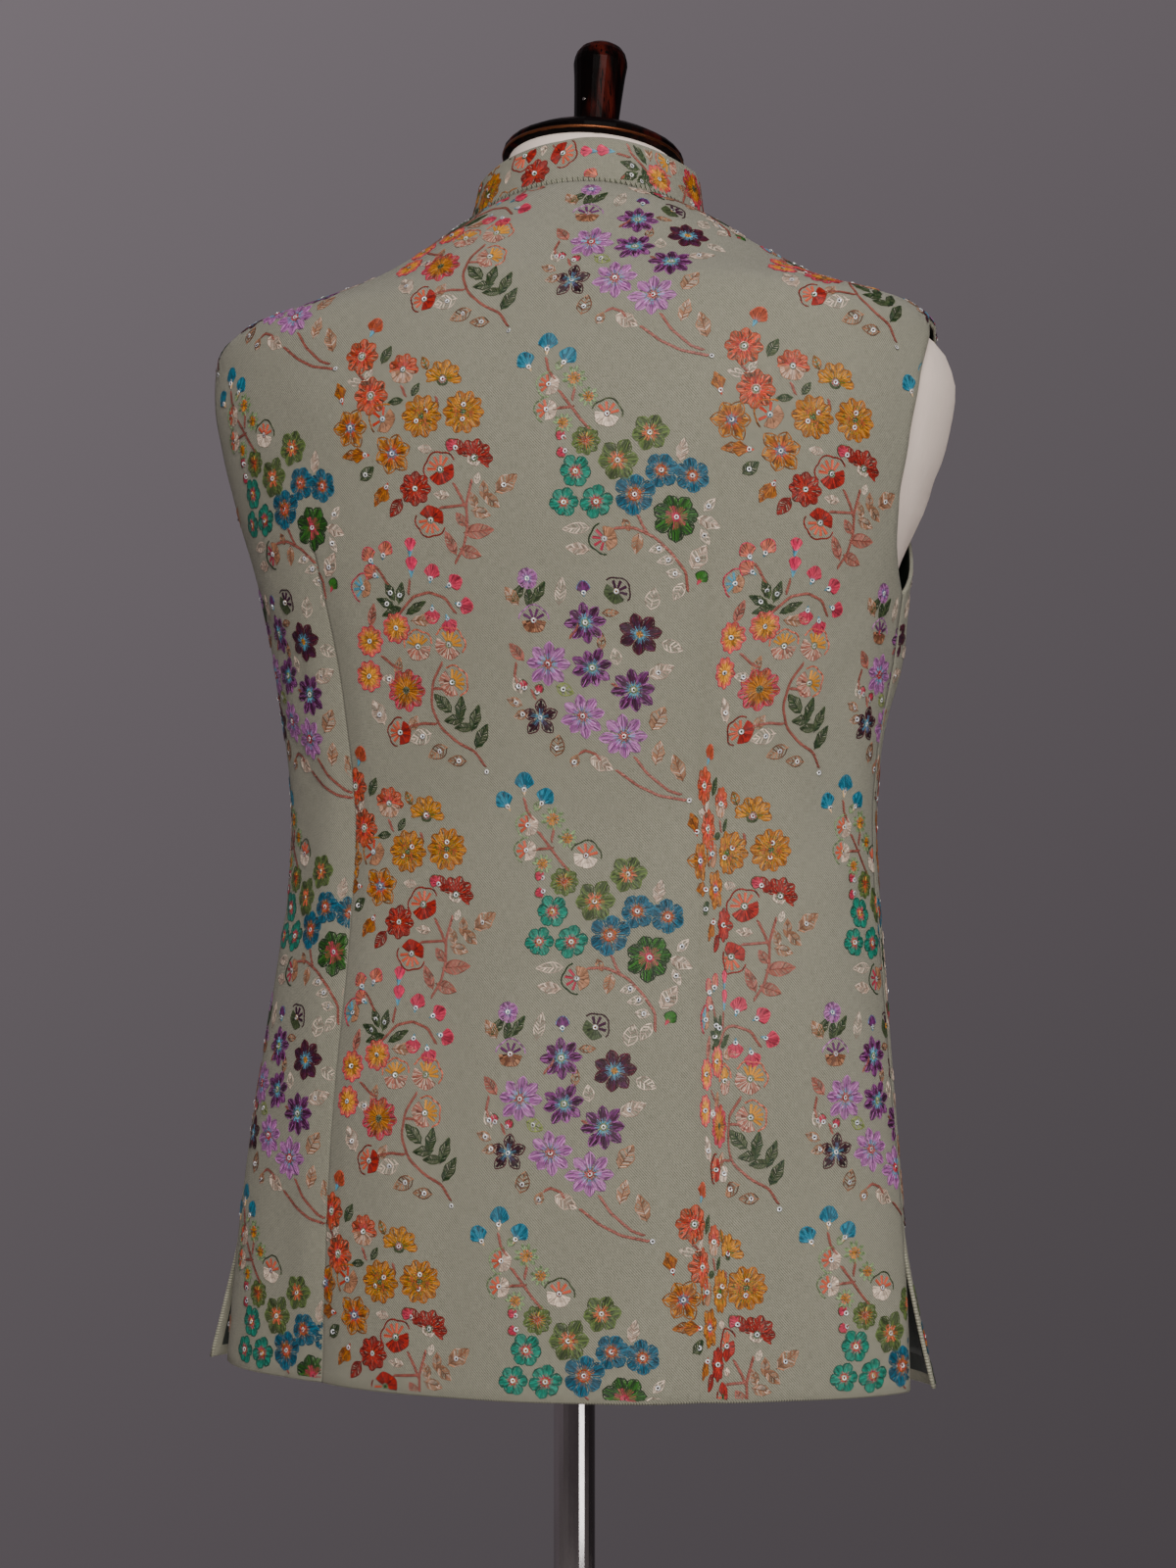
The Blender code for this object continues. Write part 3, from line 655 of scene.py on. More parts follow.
def addWall(name, outer, inner, uv, materials, innerKind=None):
    # A cloth wall from two grids of points, with a rounded edge all round.
    rows, columns = outer.shape[:2]
    count = rows * columns
    grid = np.arange(count).reshape(rows, columns)
    rim = np.concatenate([grid[0, :-1], grid[:-1, -1], grid[-1, :0:-1], grid[:0:-1, 0]])
    inward = np.concatenate([grid[1, :-1], grid[:-1, -2], grid[-2, :0:-1], grid[:0:-1, 1]])
    flatOuter, flatInner = outer.reshape(-1, 3), inner.reshape(-1, 3)
    wall = np.linalg.norm(flatOuter[rim] - flatInner[rim], axis=1, keepdims=True)
    outwards = unit(flatOuter[rim] - flatOuter[inward])
    middle = (flatOuter[rim] + flatInner[rim]) / 2 + outwards * wall * panelCut["roundEdge"]
    points = np.concatenate([flatOuter, flatInner, middle])
    quads = np.stack([grid[:-1, :-1], grid[:-1, 1:], grid[1:, 1:], grid[1:, :-1]], axis=-1).reshape(-1, 4)
    rimMid = 2 * count + np.arange(len(rim))
    rimNext, midNext = np.roll(rim, -1), np.roll(rimMid, -1)
    edge = np.concatenate([
        np.stack([rimNext, rim, rimMid, midNext], axis=1),
        np.stack([midNext, rimMid, rim + count, rimNext + count], axis=1),
    ])
    faces = np.concatenate([quads, quads[:, ::-1] + count, edge])
    r, c = rows // 2, columns // 2
    normal = np.cross(outer[r, c + 1] - outer[r, c], outer[r + 1, c] - outer[r, c])
    if np.dot(normal, outer[r, c] - inner[r, c]) < 0:
        faces = faces[:, ::-1]
    made = quickMesh(name, points, faces, materials)
    kinds = np.zeros(len(faces), dtype=np.int32)
    if innerKind is not None:
        kinds[len(quads) : 2 * len(quads)] = innerKind.reshape(-1)
    made.data.polygons.foreach_set("material_index", kinds)
    flatUv = uv.reshape(-1, 2)
    giveUv(made, "clothUV", np.concatenate([flatUv, flatUv, flatUv[rim]])[faces.ravel()])
    return made


def fromEdge(outer):
    # How far each square of a grid lies from the grid's edge, in metres.
    across, upward = climbed(outer.transpose(1, 0, 2)).T, climbed(outer)
    inside = np.minimum(np.minimum(across, across[:, -1:] - across),
                        np.minimum(upward, upward[-1:] - upward))
    return inside[:-1, :-1]


def wallOn(z, s, liftOf, inset=0.0, depth=panelCut["wall"]):
    zGrid = np.repeat(z[:, None], s.shape[1], axis=1)
    outer, normal = body.place(zGrid, s, liftOf(zGrid, s) - inset)
    tau = body.sample(body.tau, zGrid, s)
    return outer, outer - normal * depth, np.stack([s + panelCut["grainLean"] * tau, tau], axis=2)


def addPanel(name, lines, liftOf, node):
    z = evenRows(panelCut["gridStep"])
    s = columnsBetween(z, [line(z) for line in lines], panelCut["gridStep"])
    outer, inner, uv = wallOn(z, s, liftOf)
    innerKind = np.where(fromEdge(outer) < panelCut["turnedEdge"], 0, 1)
    made = addWall(name, outer, inner, uv, [finishes["twill"], finishes["lining"]], innerKind)
    onPart(made, "cloth", node)


liningCut = {
    "wall": 0.0009,
    "heights": (0.856, 0.955),
    "shares": ((1 / 12) ** 1.35, (4 / 12) ** 1.35),  # of the front's width, from its side edge
    "rows": 26,
    "columns": 14,
}


def addLining(name, side, liftOf, node):
    # The stretch of lining that shows inside the vent, as the part's source places it.
    z = np.linspace(*liningCut["heights"], liningCut["rows"])
    width = body.length(z) - frontEdge(z)
    shares = np.linspace(*liningCut["shares"], liningCut["columns"])
    s = side * (frontEdge(z)[:, None] + width[:, None] * shares[None])
    inset = panelCut["wall"] + panelCut["gap"]
    outer, inner, uv = wallOn(z, s, liftOf, inset, liningCut["wall"])
    made = addWall(name, outer, inner, uv, [finishes["lining"]])
    onPart(made, "lining", node)


lap = panelCut["frontLap"]
leftLift = lambda z, s: frontLift(z, s, False)
rightLift = lambda z, s: frontLift(z, s, True)
dartLine = lambda place, side: lambda z: side * place * body.length(z)
leftDart, rightDart = panelCut["darts"][0][:2]
frontDart = panelCut["darts"][1][0]
addPanel("backCloth", (lambda z: -backEdge(z), dartLine(rightDart, -1), dartLine(leftDart, 1), backEdge),
         foldLift, "back")
addPanel("frontLeftCloth", (frontEdge, dartLine(frontDart, 1), lambda z: body.length(z) + lap),
         leftLift, "front_left")
addPanel("frontRightCloth",
         (lambda z: -body.length(z) - lap, dartLine(frontDart, -1), lambda z: -frontEdge(z)),
         rightLift, "front_right")
addLining("liningLeft", 1, leftLift, "lining_left")
addLining("liningRight", -1, rightLift, "lining_right")
print("panels sewn")

collarCut = {
    "height": 0.0285,
    "corner": 0.016,
    "clear": 0.0011,
    "split": 0.004,
    "crowded": 0.35,  # how much closer the columns lie at the ends
    "lean": (26.0, 8.0, 2.0),  # degrees in from upright, at the back, side and front
    "rows": 10,
    "columns": 190,
}


def collarPoint(s, height):
    neckZ = np.full(np.shape(s), body.neckZ)
    base = body.sample(body.points, neckZ, s)
    along = body.sample(body.points, neckZ,
                        s + body.sStep) - body.sample(body.points, neckZ, s - body.sStep)
    turned = np.radians(np.interp(np.abs(s) / body.lengthAt[-1], (0, 0.5, 1), collarCut["lean"]))[..., None]
    upright = np.array([0.0, 0.0, 1.0])
    outward = unit(np.cross(upright, along))
    rising = upright * np.cos(turned) - outward * np.sin(turned)
    facing = outward * np.cos(turned) + upright * np.sin(turned)
    return base + rising * np.asarray(height)[..., None], facing


def collarTop(s):
    # The height of the stand, rounded off at its two front ends.
    corner = collarCut["corner"]
    fromEnd = body.lengthAt[-1] - collarCut["split"] - np.abs(s)
    drop = np.sqrt(np.maximum(0, corner**2 - np.maximum(0, corner - fromEnd) ** 2))
    return np.where(fromEnd >= corner, collarCut["height"], collarCut["height"] - corner + drop)


def addCollar():
    end, crowded = body.lengthAt[-1] - collarCut["split"], collarCut["crowded"]
    way = np.linspace(-1, 1, collarCut["columns"] + 1)
    s = end * (crowded * np.sin(0.5 * math.pi * way) + (1 - crowded) * way)
    share = np.linspace(0, 1, collarCut["rows"] + 1)[:, None]
    height = collarCut["clear"] + (collarTop(s)[None] - collarCut["clear"]) * share
    sGrid = np.repeat(s[None], len(share), axis=0)
    outer, facing = collarPoint(sGrid, height)
    inner = outer - facing * panelCut["wall"]
    made = addWall("collarCloth", outer, inner, np.stack([height, sGrid], axis=2), [finishes["twill"]])
    onPart(made, "cloth", "collar")


addCollar()
print("collar set")

# Threads, as they look in soft light (red, green, blue out of 255).
threadColours = {
    "lilac": (190, 126, 186), "orchid": (156, 88, 152), "violet": (116, 46, 112), "plum": (72, 20, 60),
    "maroon": (88, 20, 44), "wine": (58, 14, 34), "sky": (92, 168, 196), "azure": (38, 134, 162),
    "petrol": (22, 88, 112), "ocean": (34, 104, 130), "lagoon": (24, 144, 120), "lagoonDeep": (16, 104, 88),
    "olive": (98, 120, 62), "moss": (74, 88, 56), "leafGreen": (46, 108, 28), "deepGreen": (34, 62, 28),
    "mint": (140, 166, 118), "lime": (146, 164, 84), "cream": (226, 206, 186), "shell": (204, 176, 156),
    "tan": (176, 126, 94), "umber": (120, 76, 54), "rust": (184, 78, 42), "coral": (232, 104, 74),
    "flame": (220, 66, 34), "brick": (140, 30, 22), "poppy": (178, 36, 24), "mustard": (206, 134, 26),
    "ochre": (176, 104, 22), "bronze": (130, 74, 18), "gold": (232, 158, 50), "apricot": (232, 188, 122),
    "rose": (198, 58, 86), "hotPink": (226, 50, 96), "blush": (172, 104, 88), "redEye": (208, 44, 60),
    "steelBlue": (106, 126, 170), "stem": (178, 108, 96), "stemDark": (132, 68, 58),
    "white": (226, 222, 218),
    "salmon": (226, 116, 88), "ink": (34, 26, 24),
}

# Stitches, in millimetres: width and rise, and how much their tone varies where it isn't the usual.
stitchCut = {
    "mottle": 0.40,
    "toneLimits": (0.42, 1.75),
    "shade": 0.74,  # threads lie in each other's shadow
    "stray": 0.05,
    "sequinTie": (0.95, 0.80, 0.1),
    "rayStep": 0.97,  # between the stitches of a petal
    "petalEdge": (0.80, 0.38),
    "petalFill": (0.93, 0.34),
    "petalGlow": (0.62, 0.46),
    "eye": (0.60, 0.46),
    "eyeRim": (0.50, 0.50),
    "ruffleRows": ((0.60, 1.0, 0.96), (0.30, 0.68, 1.00), (0.0, 0.40, 1.06)),  # from, to, step
    "ruffleFill": (0.95, 0.34),
    "ruffleGlow": (0.55, 0.44),
    "ray": (0.60, 0.42, 0.2),
    "scallop": (1.05, 0.42),
    "cupFoot": (0.74, 0.34),
    "cupHead": (0.90, 0.34),
    "cupBetween": (0.62, 0.28),
    "cupEdge": (0.75, 0.36),
    "leafEdge": (0.78, 0.30, 0.34),
    "leafFill": (0.82, 0.28, 0.36),
    "leafRib": (0.62, 0.40),
    "budFoot": (0.84, 0.36),
    "budHead": (0.90, 0.36),
    "budEdge": (0.80, 0.40),
    "budCup": (0.60, 0.40),
    "stemWidth": 1.55,
    "stemRise": (0.45, 0.2),
}
petalWidest = {"pointed": 0.45, "oval": 0.57, "round": 0.62}  # where a petal is widest, as a share


def threadShade(names, count, random):
    # One thread colour for each stitch, picked from one name or several.
    names = (names,) if isinstance(names, str) else names
    rows = np.array([linearColour(*threadColours[name]) for name in names])
    return stitchCut["shade"] * rows[random.integers(len(rows), size=count)]


class StitchBook:
    # The stitches of one motif on flat cloth, in millimetres: right and up as seen from outside.
    def __init__(self, seed):
        self.random = np.random.default_rng(seed)
        self.rows, self.sequins = [], []

    def lay(self, starts, ends, colour, width, rise, mottle=stitchCut["mottle"]):
        starts, ends = np.atleast_2d(starts), np.atleast_2d(ends)
        count = len(starts)
        tone = np.clip(1 + mottle * self.random.normal(size=(count, 1)), *stitchCut["toneLimits"])
        shade = threadShade(colour, count, self.random) * tone
        stray = stitchCut["stray"] * self.random.normal(size=(2, count, 2))
        sizes = np.column_stack([np.full(count, width), rise * (1 + 0.35 * self.random.random(count))])
        self.rows.append(np.column_stack([starts + stray[0], ends + stray[1], sizes, shade]))

    def sequin(self, u, v):
        # Held down by one dark thread from its hole.
        way = self.random.random() * math.pi
        step = 0.70 * np.array([math.cos(way), math.sin(way)])
        self.lay(np.array([u, v]) - step, np.array([u, v]) + step, "ink", *stitchCut["sequinTie"])
        self.sequins.append((u, v))

    def finished(self):
        return np.concatenate(self.rows), np.array(self.sequins).reshape(-1, 2)


def onAxis(centre, turn, along, across):
    # Points given along and across an axis that is turned anticlockwise from the right.
    along, across = np.broadcast_arrays(along, across)
    c, s = math.cos(turn), math.sin(turn)
    return np.stack([centre[0] + along * c - across * s, centre[1] + along * s + across * c], axis=-1)


def ringPoints(centre, radius, angle):
    return np.stack([centre[0] + radius * np.cos(angle), centre[1] + radius * np.sin(angle)], axis=-1)


def petalHalfWidth(t, shape):
    t = np.clip(t, 0, 1)
    if shape == "pointed":
        return np.sin(math.pi * t**0.95) ** 0.8
    if shape == "oval":
        return np.sin(math.pi * t**1.2) ** 0.78
    flank = 0.30 + 0.70 * np.sin(0.5 * math.pi * t / 0.62)
    return np.where(t < 0.62, flank, np.sqrt(np.maximum(0, 1 - ((t - 0.62) / 0.38) ** 2)))


def stitchPetal(book, centre, turn, base, tip, half, petal):
    # A sewn outline, long and short stitches inside it and a few bright ones from the eye.
    reach, shape, random = tip - base, petal["shape"], book.random
    at = lambda along, across: onAxis(centre, turn, along, across)
    outline = np.linspace(0.14, 1, 6)
    for side in (-1, 1):
        edge = at(base + reach * outline, side * half * petalHalfWidth(outline, shape))
        book.lay(edge[:-1], edge[1:], petal["tip"], *stitchCut["petalEdge"])
    rays = np.linspace(-0.80, 0.80, max(3, int(round(2 * half / stitchCut["rayStep"]))))
    far = (1 - 0.60 * np.abs(rays)) if shape == "pointed" else 0.62 + 0.36 * np.sqrt(1 - rays**2)
    far = far - 0.07 * random.random(len(rays))
    turnPoint = 0.50 + 0.16 * random.random(len(rays))
    mid = half * petalHalfWidth(turnPoint, shape) * rays * 0.92
    end = half * np.abs(petalHalfWidth(far * 0.96, shape)) * np.sign(rays) * np.minimum(np.abs(rays), 0.9)
    end = np.where(np.abs(rays) < 0.05, 0, end)
    book.lay(at(base + reach * (turnPoint - 0.1), mid), at(base + reach * far, end),
             petal.get("outer", petal["fill"]), *stitchCut["petalFill"])
    book.lay(at(base + reach * 0.06, rays * half * 0.34), at(base + reach * turnPoint, mid),
             petal["fill"], *stitchCut["petalFill"])
    bright = rays[:: 1 if len(rays) < 5 else 2]
    glow = petal.get("glow", 0.30) + 0.12 * random.random(len(bright))
    book.lay(at(np.full(len(bright), base * 0.8), bright * half * 0.28),
             at(base + reach * glow, bright * half * 0.50), petal["inner"], *stitchCut["petalGlow"])


def stitchEye(book, centre, radius, colour, rim=None, sequin=False):
    spokes = max(6, int(radius * 4))
    turn = 2 * math.pi * (np.arange(spokes) + book.random.random()) / spokes
    ring = np.column_stack([np.cos(turn), np.sin(turn)])
    inner, outer = np.array(centre) + ring * 0.15 * radius, np.array(centre) + ring * radius
    book.lay(inner, outer, colour, *stitchCut["eye"])
    if rim:
        book.lay(outer, np.array(centre) + np.roll(ring, -1, axis=0) * radius, rim, *stitchCut["eyeRim"])
    if sequin:
        book.sequin(*centre)


def stitchRuffle(book, centre, core, radius, petal, middle=0.0, spread=math.pi):
    # A ring, or part of one, of close stitches with a lobed edge.
    lobes = petal.get("petals", 7)
    edgeAt = lambda angle: radius * (1 - 0.19 * np.abs(np.sin(0.5 * lobes * angle)) ** 3)
    for inner, outer, step in stitchCut["ruffleRows"]:
        low, high = core + (radius - core) * inner, core + (radius - core) * outer
        count = max(6, int(2 * spread * (0.35 * low + 0.65 * high) / step))
        angle = middle + np.linspace(-spread, spread, count, endpoint=spread < 3)
        share = edgeAt(angle) / radius
        spin = angle + 0.05 * book.random.normal(size=count)
        start = low * share * (1 + 0.06 * book.random.normal(size=count))
        end = high * share * (1 - 0.05 * book.random.random(count))
        shade = petal["fill"] if inner < 0.5 else petal.get("outer", petal["fill"])
        book.lay(ringPoints(centre, start, spin), ringPoints(centre, end, angle), shade,
                 *stitchCut["ruffleFill"])
    angle = middle + np.linspace(-spread, spread, int(2 * spread * radius / 1.4))
    edge = ringPoints(centre, edgeAt(angle), angle)
    book.lay(edge[:-1], edge[1:], petal["tip"], *stitchCut["petalEdge"])
    angle = middle + np.linspace(-spread, spread, int(2 * spread * core * 1.5 / 1.3))
    reach = core + (radius - core) * (petal.get("glow", 0.30) + 0.10 * book.random.random(len(angle)))
    book.lay(ringPoints(centre, 0.8 * core, angle), ringPoints(centre, reach, angle), petal["inner"],
             *stitchCut["ruffleGlow"])


def stitchBloom(book, u, v, radius, petal, turn):
    count = petal["petals"]
    core = radius * petal.get("core", 0.25)
    if petal["shape"] == "ruffle":
        stitchRuffle(book, (u, v), core, radius, petal, math.radians(turn))
    else:
        widest = core + (radius - core) * petalWidest[petal["shape"]]
        half = widest * math.tan(math.pi / count) * petal.get("plump", 0.85)
        for number in range(count):
            angle = math.radians(turn) + 2 * math.pi * number / count + 0.05 * book.random.normal()
            stitchPetal(book, (u, v), angle, core, radius * (1 + 0.05 * book.random.normal()), half, petal)
    spots = petal.get("spots", 0)
    for spot in range(spots):
        angle = math.radians(turn + 45) + 2 * math.pi * spot / spots
        place = (u + 0.33 * radius * math.cos(angle), v + 0.33 * radius * math.sin(angle))
        stitchEye(book, place, 0.34 * radius, "leafGreen")
        stitchEye(book, place, 0.25 * radius, "redEye", None, spot % 2 == 0)
    if not spots:
        stitchEye(book, (u, v), core, petal["eye"], petal.get("rim"), petal.get("sequin", True))


def stitchSideBloom(book, u, v, radius, petal, turn):
    # Open petals on one side, a filled cup on the other.
    axis, centre = math.radians(turn), (u, v)
    if petal.get("full"):
        whole = dict(petal, fill=petal["ray"], tip=petal["edge"], inner=petal["glowThread"], petals=9)
        stitchRuffle(book, centre, 0.26 * radius, radius, whole, axis, 1.75)
    else:
        count = petal["rays"]
        for bend in np.linspace(-1.05, 1.05, count):
            for shift in (-0.40, -0.14, 0.14, 0.40):
                book.lay(onAxis(centre, axis + bend, 0.24 * radius, shift),
                         onAxis(centre, axis + bend, radius * 0.78, shift * 1.5), petal["ray"],
                         *stitchCut["ray"])
        around = np.linspace(-1.5, 1.5, 6 * count + 1)
        wave = radius * (0.90 + 0.12 * np.abs(np.cos(around * count * 0.56)))
        edge = ringPoints(centre, wave, axis + around)
        book.lay(edge[:-1], edge[1:], petal["edge"], *stitchCut["scallop"])
    cup, spread = petal.get("cup", 0.86), 1.45
    around = np.linspace(math.pi - spread, math.pi + spread, max(9, int(2 * spread * radius * cup / 0.8)))
    deep = radius * cup * (1 - 0.10 * np.abs(np.sin(2.5 * around)))
    start, end = ringPoints(centre, 0.22 * radius, axis + around), ringPoints(centre, deep, axis + around)
    share = 0.50 + 0.12 * book.random.random((len(around), 1))
    middle = start * (1 - share) + end * share
    between = lambda points: (points + np.roll(points, -1, axis=0))[:-1] / 2
    book.lay(start, middle, petal["cupFill"], *stitchCut["cupFoot"])
    book.lay(middle, end, petal["cupFill"], *stitchCut["cupHead"])
    book.lay(between(middle), between(end), petal["cupFill"], *stitchCut["cupBetween"])
    book.lay(end[:-1], end[1:], petal["cupFill"], *stitchCut["cupEdge"])
    stitchEye(book, centre, 0.20 * radius, petal["eye"], None, True)


def stitchLeaf(book, u, v, length, width, leaf, turn, sequin):
    jag = 0.13 * leaf.get("jag", 0)
    profile = lambda t: np.sin(math.pi * np.clip(t, 0, 1) ** 0.8) ** 0.9 * (1 + jag * np.sin(15 * t))
    at = lambda t, across: onAxis((u, v), math.radians(turn), (t - 0.5) * length, across)
    for side in (-1, 1):
        t = np.linspace(0, 1, max(5, int(length / 1.9)) + 1)
        edge = at(t, side * 0.5 * width * profile(t))
        book.lay(edge[:-1], edge[1:], leaf["fill"], *stitchCut["leafEdge"])
        if leaf.get("open"):
            t = np.linspace(0.2, 0.75, max(3, int(length / 2.6)))
        else:
            t = np.linspace(0.02, 0.86, max(5, int(length / 1.18)))
        out = np.clip(t + 0.15 + 0.02 * book.random.normal(size=len(t)), 0, 0.99)
        book.lay(at(t, side * 0.12), at(out, side * 0.47 * width * profile(out)), leaf["fill"],
                 *stitchCut["leafFill"])
    t = np.linspace(-0.06, 0.9, max(3, int(length / 2.4)) + 1)
    rib = at(t, 0 * t)
    book.lay(rib[:-1], rib[1:], leaf["rib"], *stitchCut["leafRib"])
    if sequin:
        book.sequin(*onAxis((u, v), math.radians(turn), -0.12 * length, 0.0))


def stitchBud(book, u, v, size, bud, turn):
    # A rounded head of fanned threads on a small pale cup with a sequin.
    axis, centre = math.radians(turn), (u, v)
    wide, round = bud.get("wide", 1.75), 0.56 * size
    head = onAxis(centre, axis, 0.50 * size, 0.0)
    fan = lambda radius, bend: ringPoints(centre, radius, axis + bend)
    bend = np.linspace(-wide, wide, max(8, int(2 * wide * round / 0.82)))
    edge = ringPoints(head, round * (0.90 + 0.12 * np.abs(np.cos(1.6 * bend))), axis + bend)
    foot = fan(0.20 * size, bend * 0.45)
    share = 0.46 + 0.14 * book.random.random((len(bend), 1))
    between = foot * (1 - share) + edge * share
    book.lay(foot, between, bud["fan"], *stitchCut["budFoot"])
    book.lay(between, edge * 0.98 + foot * 0.02, bud["fan"], *stitchCut["budHead"])
    book.lay(edge[:-1], edge[1:], bud["edge"], *stitchCut["budEdge"])
    bend = np.linspace(-0.62, 0.62, 5)
    base = onAxis(centre, axis, -0.26 * size, 0.0)
    book.lay(np.repeat(base[None], len(bend), axis=0), fan(0.34 * size, bend), bud["cup"],
             *stitchCut["budCup"])
    if bud.get("sequin", True):
        book.sequin(*onAxis(centre, axis, 0.06 * size, 0.0))


def stitchStem(book, way):
    # Slanting stitches along a line through a few points, with a darker row beside the light one.
    way, width = np.array(way, float), stitchCut["stemWidth"]
    knots = np.linspace(0, 1, len(way))
    fine = np.linspace(0, 1, 60)
    smooth = np.column_stack([np.interp(fine, knots, way[:, k]) for k in (0, 1)])
    for _ in range(6):
        smooth[1:-1] = (smooth[:-2] + 2 * smooth[1:-1] + smooth[2:]) / 4
    run = np.concatenate([[0], np.cumsum(np.linalg.norm(np.diff(smooth, axis=0), axis=1))])
    at = np.linspace(0, run[-1], max(3, int(run[-1] / 1.3)) + 1)
    points = np.column_stack([np.interp(at, run, smooth[:, k]) for k in (0, 1)])
    tangent = unit(np.diff(points, axis=0))
    across = np.column_stack([-tangent[:, 1], tangent[:, 0]]) * 0.36 * width
    for shade, shift in (("stem", 0.0), ("stemDark", 0.55)):
        step = tangent * shift
        book.lay(points[:-1] - across - tangent * 0.3 + step, points[1:] + across + tangent * 0.3 + step,
                 shade, 0.66 * width, *stitchCut["stemRise"])


def bloomThreads(petals, shape, tip, fill, inner, eye, **more):
    return dict(petals=petals, shape=shape, tip=tip, fill=fill, inner=inner, eye=eye, **more)


blooms = {
    "lilac": bloomThreads(8, "oval", "lilac", ("lilac", "orchid"), "sky", "redEye", rim="rose",
                          plump=0.82, outer=("lilac", "lilac", "orchid"), glow=0.22),
    "violet": bloomThreads(8, "oval", ("violet", "orchid"), ("plum", "violet", "plum"), "sky", "lime",
                           plump=0.80, outer=("violet", "plum", "orchid"), core=0.22, glow=0.20),
    "maroon": bloomThreads(7, "oval", "maroon", ("wine", "plum"), "sky", "gold", plump=0.86,
                           outer=("maroon", "wine", "plum"), core=0.20, sequin=False, glow=0.22),
    "starlet": bloomThreads(5, "pointed", "maroon", "wine", ("steelBlue", "sky"), "sky", plump=0.72,
                            glow=0.30, core=0.2),
    "olive": bloomThreads(6, "oval", "olive", ("olive", "moss"), "coral", "gold", plump=0.90, core=0.24,
                          glow=0.22),
    "oliveSmall": bloomThreads(9, "ruffle", "olive", "olive", ("gold", "rust"), "rust", core=0.34,
                               glow=0.34, sequin=False),
    "tealPetal": bloomThreads(6, "round", "lagoonDeep", "lagoon", "rose", "gold", plump=0.88, core=0.27,
                              outer="lagoon", glow=0.22),
    "petrol": bloomThreads(6, "round", "ocean", ("petrol", "petrol", "ocean"), "ochre", "coral",
                           plump=0.86, core=0.28, rim="redEye", glow=0.24),
    "green": bloomThreads(7, "round", "deepGreen", ("leafGreen", "leafGreen", "deepGreen"), "rose",
                          "hotPink", plump=0.98, core=0.14, glow=0.34),
    "fringe": bloomThreads(9, "pointed", "mint", "mint", ("gold", "coral"), "mustard", plump=0.52,
                           core=0.46, sequin=False, glow=0.12),
    "rust": bloomThreads(8, "ruffle", "rust", ("rust", "flame"), "rose", "mint",
                         outer=("rust", "umber", "coral"), core=0.25, rim="cream", glow=0.16),
    "mustard": bloomThreads(10, "ruffle", "ochre", "mustard", "mustard", "mustard",
                            outer=("mustard", "ochre"), core=0.20, spots=4, sequin=False),
    "ochre": bloomThreads(6, "pointed", "ochre", ("ochre", "bronze"), "flame", "steelBlue", plump=0.98,
                          core=0.24, rim="azure", glow=0.22, outer=("ochre", "mustard")),
    "poppy": bloomThreads(8, "ruffle", "brick", ("poppy", "brick"), "flame", "leafGreen", core=0.22,
                          glow=0.3),
    "pinkGold": bloomThreads(9, "ruffle", "hotPink", "gold", "mustard", "moss",
                             outer=("coral", "salmon"), core=0.20, glow=0.3),
    "roseGold": bloomThreads(9, "ruffle", "rose", "ochre", "gold", "moss", outer=("rose", "rust"),
                             core=0.22, sequin=False, glow=0.4),
    "violetTop": bloomThreads(4, "round", "lilac", ("lilac", "orchid"), "steelBlue", "sky", plump=0.85,
                              core=0.22),
}
sideBlooms = {
    "pinkRay": dict(ray="gold", edge="salmon", cupFill=("blush", "shell"), eye="lime", rays=6),
    "redRay": dict(ray="coral", edge="brick", cupFill=("brick", "poppy"), eye="leafGreen", rays=5),
    "greenRay": dict(ray="coral", edge="moss", cupFill="cream", eye="rust", rays=4),
    "roseRay": dict(ray="rose", edge="deepGreen", cupFill="tan", eye="white", rays=4),
    "lilacRay": dict(ray="violet", edge="lilac", cupFill=("tan", "umber"), eye="redEye", rays=4),
    "mossRay": dict(ray="plum", edge="wine", cupFill="moss", eye="gold", rays=4),
    "tanRay": dict(ray=("rust", "coral"), edge="rust", cupFill=("tan", "shell"), eye="mint", full=True,
                   glowThread="rose"),
    "amberRay": dict(ray="flame", edge="ochre", cupFill="tan", eye="azure", rays=3),
    "tulipTan": dict(ray="sky", edge="rose", cupFill="tan", eye="sky", rays=4, cup=0.7),
    "shellCup": dict(ray="coral", edge="mint", cupFill=("cream", "shell"), eye="gold", rays=4),
    "mustardTop": dict(ray="mustard", edge="ochre", cupFill="moss", eye="redEye", full=True,
                       glowThread="leafGreen", cup=0.34),
    "poppyTop": dict(ray=("poppy", "brick"), edge="brick", cupFill="cream", eye="leafGreen", full=True,
                     glowThread="brick", cup=0.42),
}
leaves = {
    "tan": dict(fill=("tan", "shell", "tan"), rib="umber", jag=1),
    "cream": dict(fill=("cream", "shell"), rib="shell", jag=1),
    "creamOpen": dict(fill="cream", rib="cream", open=True),
    "tanOpen": dict(fill=("tan", "umber"), rib="tan", open=True),
    "moss": dict(fill=("moss", "moss", "deepGreen"), rib="deepGreen", jag=1),
    "limeOpen": dict(fill="lime", rib="olive", open=True),
    "blush": dict(fill=("blush", "stem"), rib="stemDark"),
    "brick": dict(fill="brick", rib="poppy"),
    "ochre": dict(fill=("ochre", "bronze"), rib="rust", jag=1),
    "mintOpen": dict(fill="mint", rib="mint", open=True),
    "ochreOpen": dict(fill="ochre", rib="leafGreen", open=True),
}
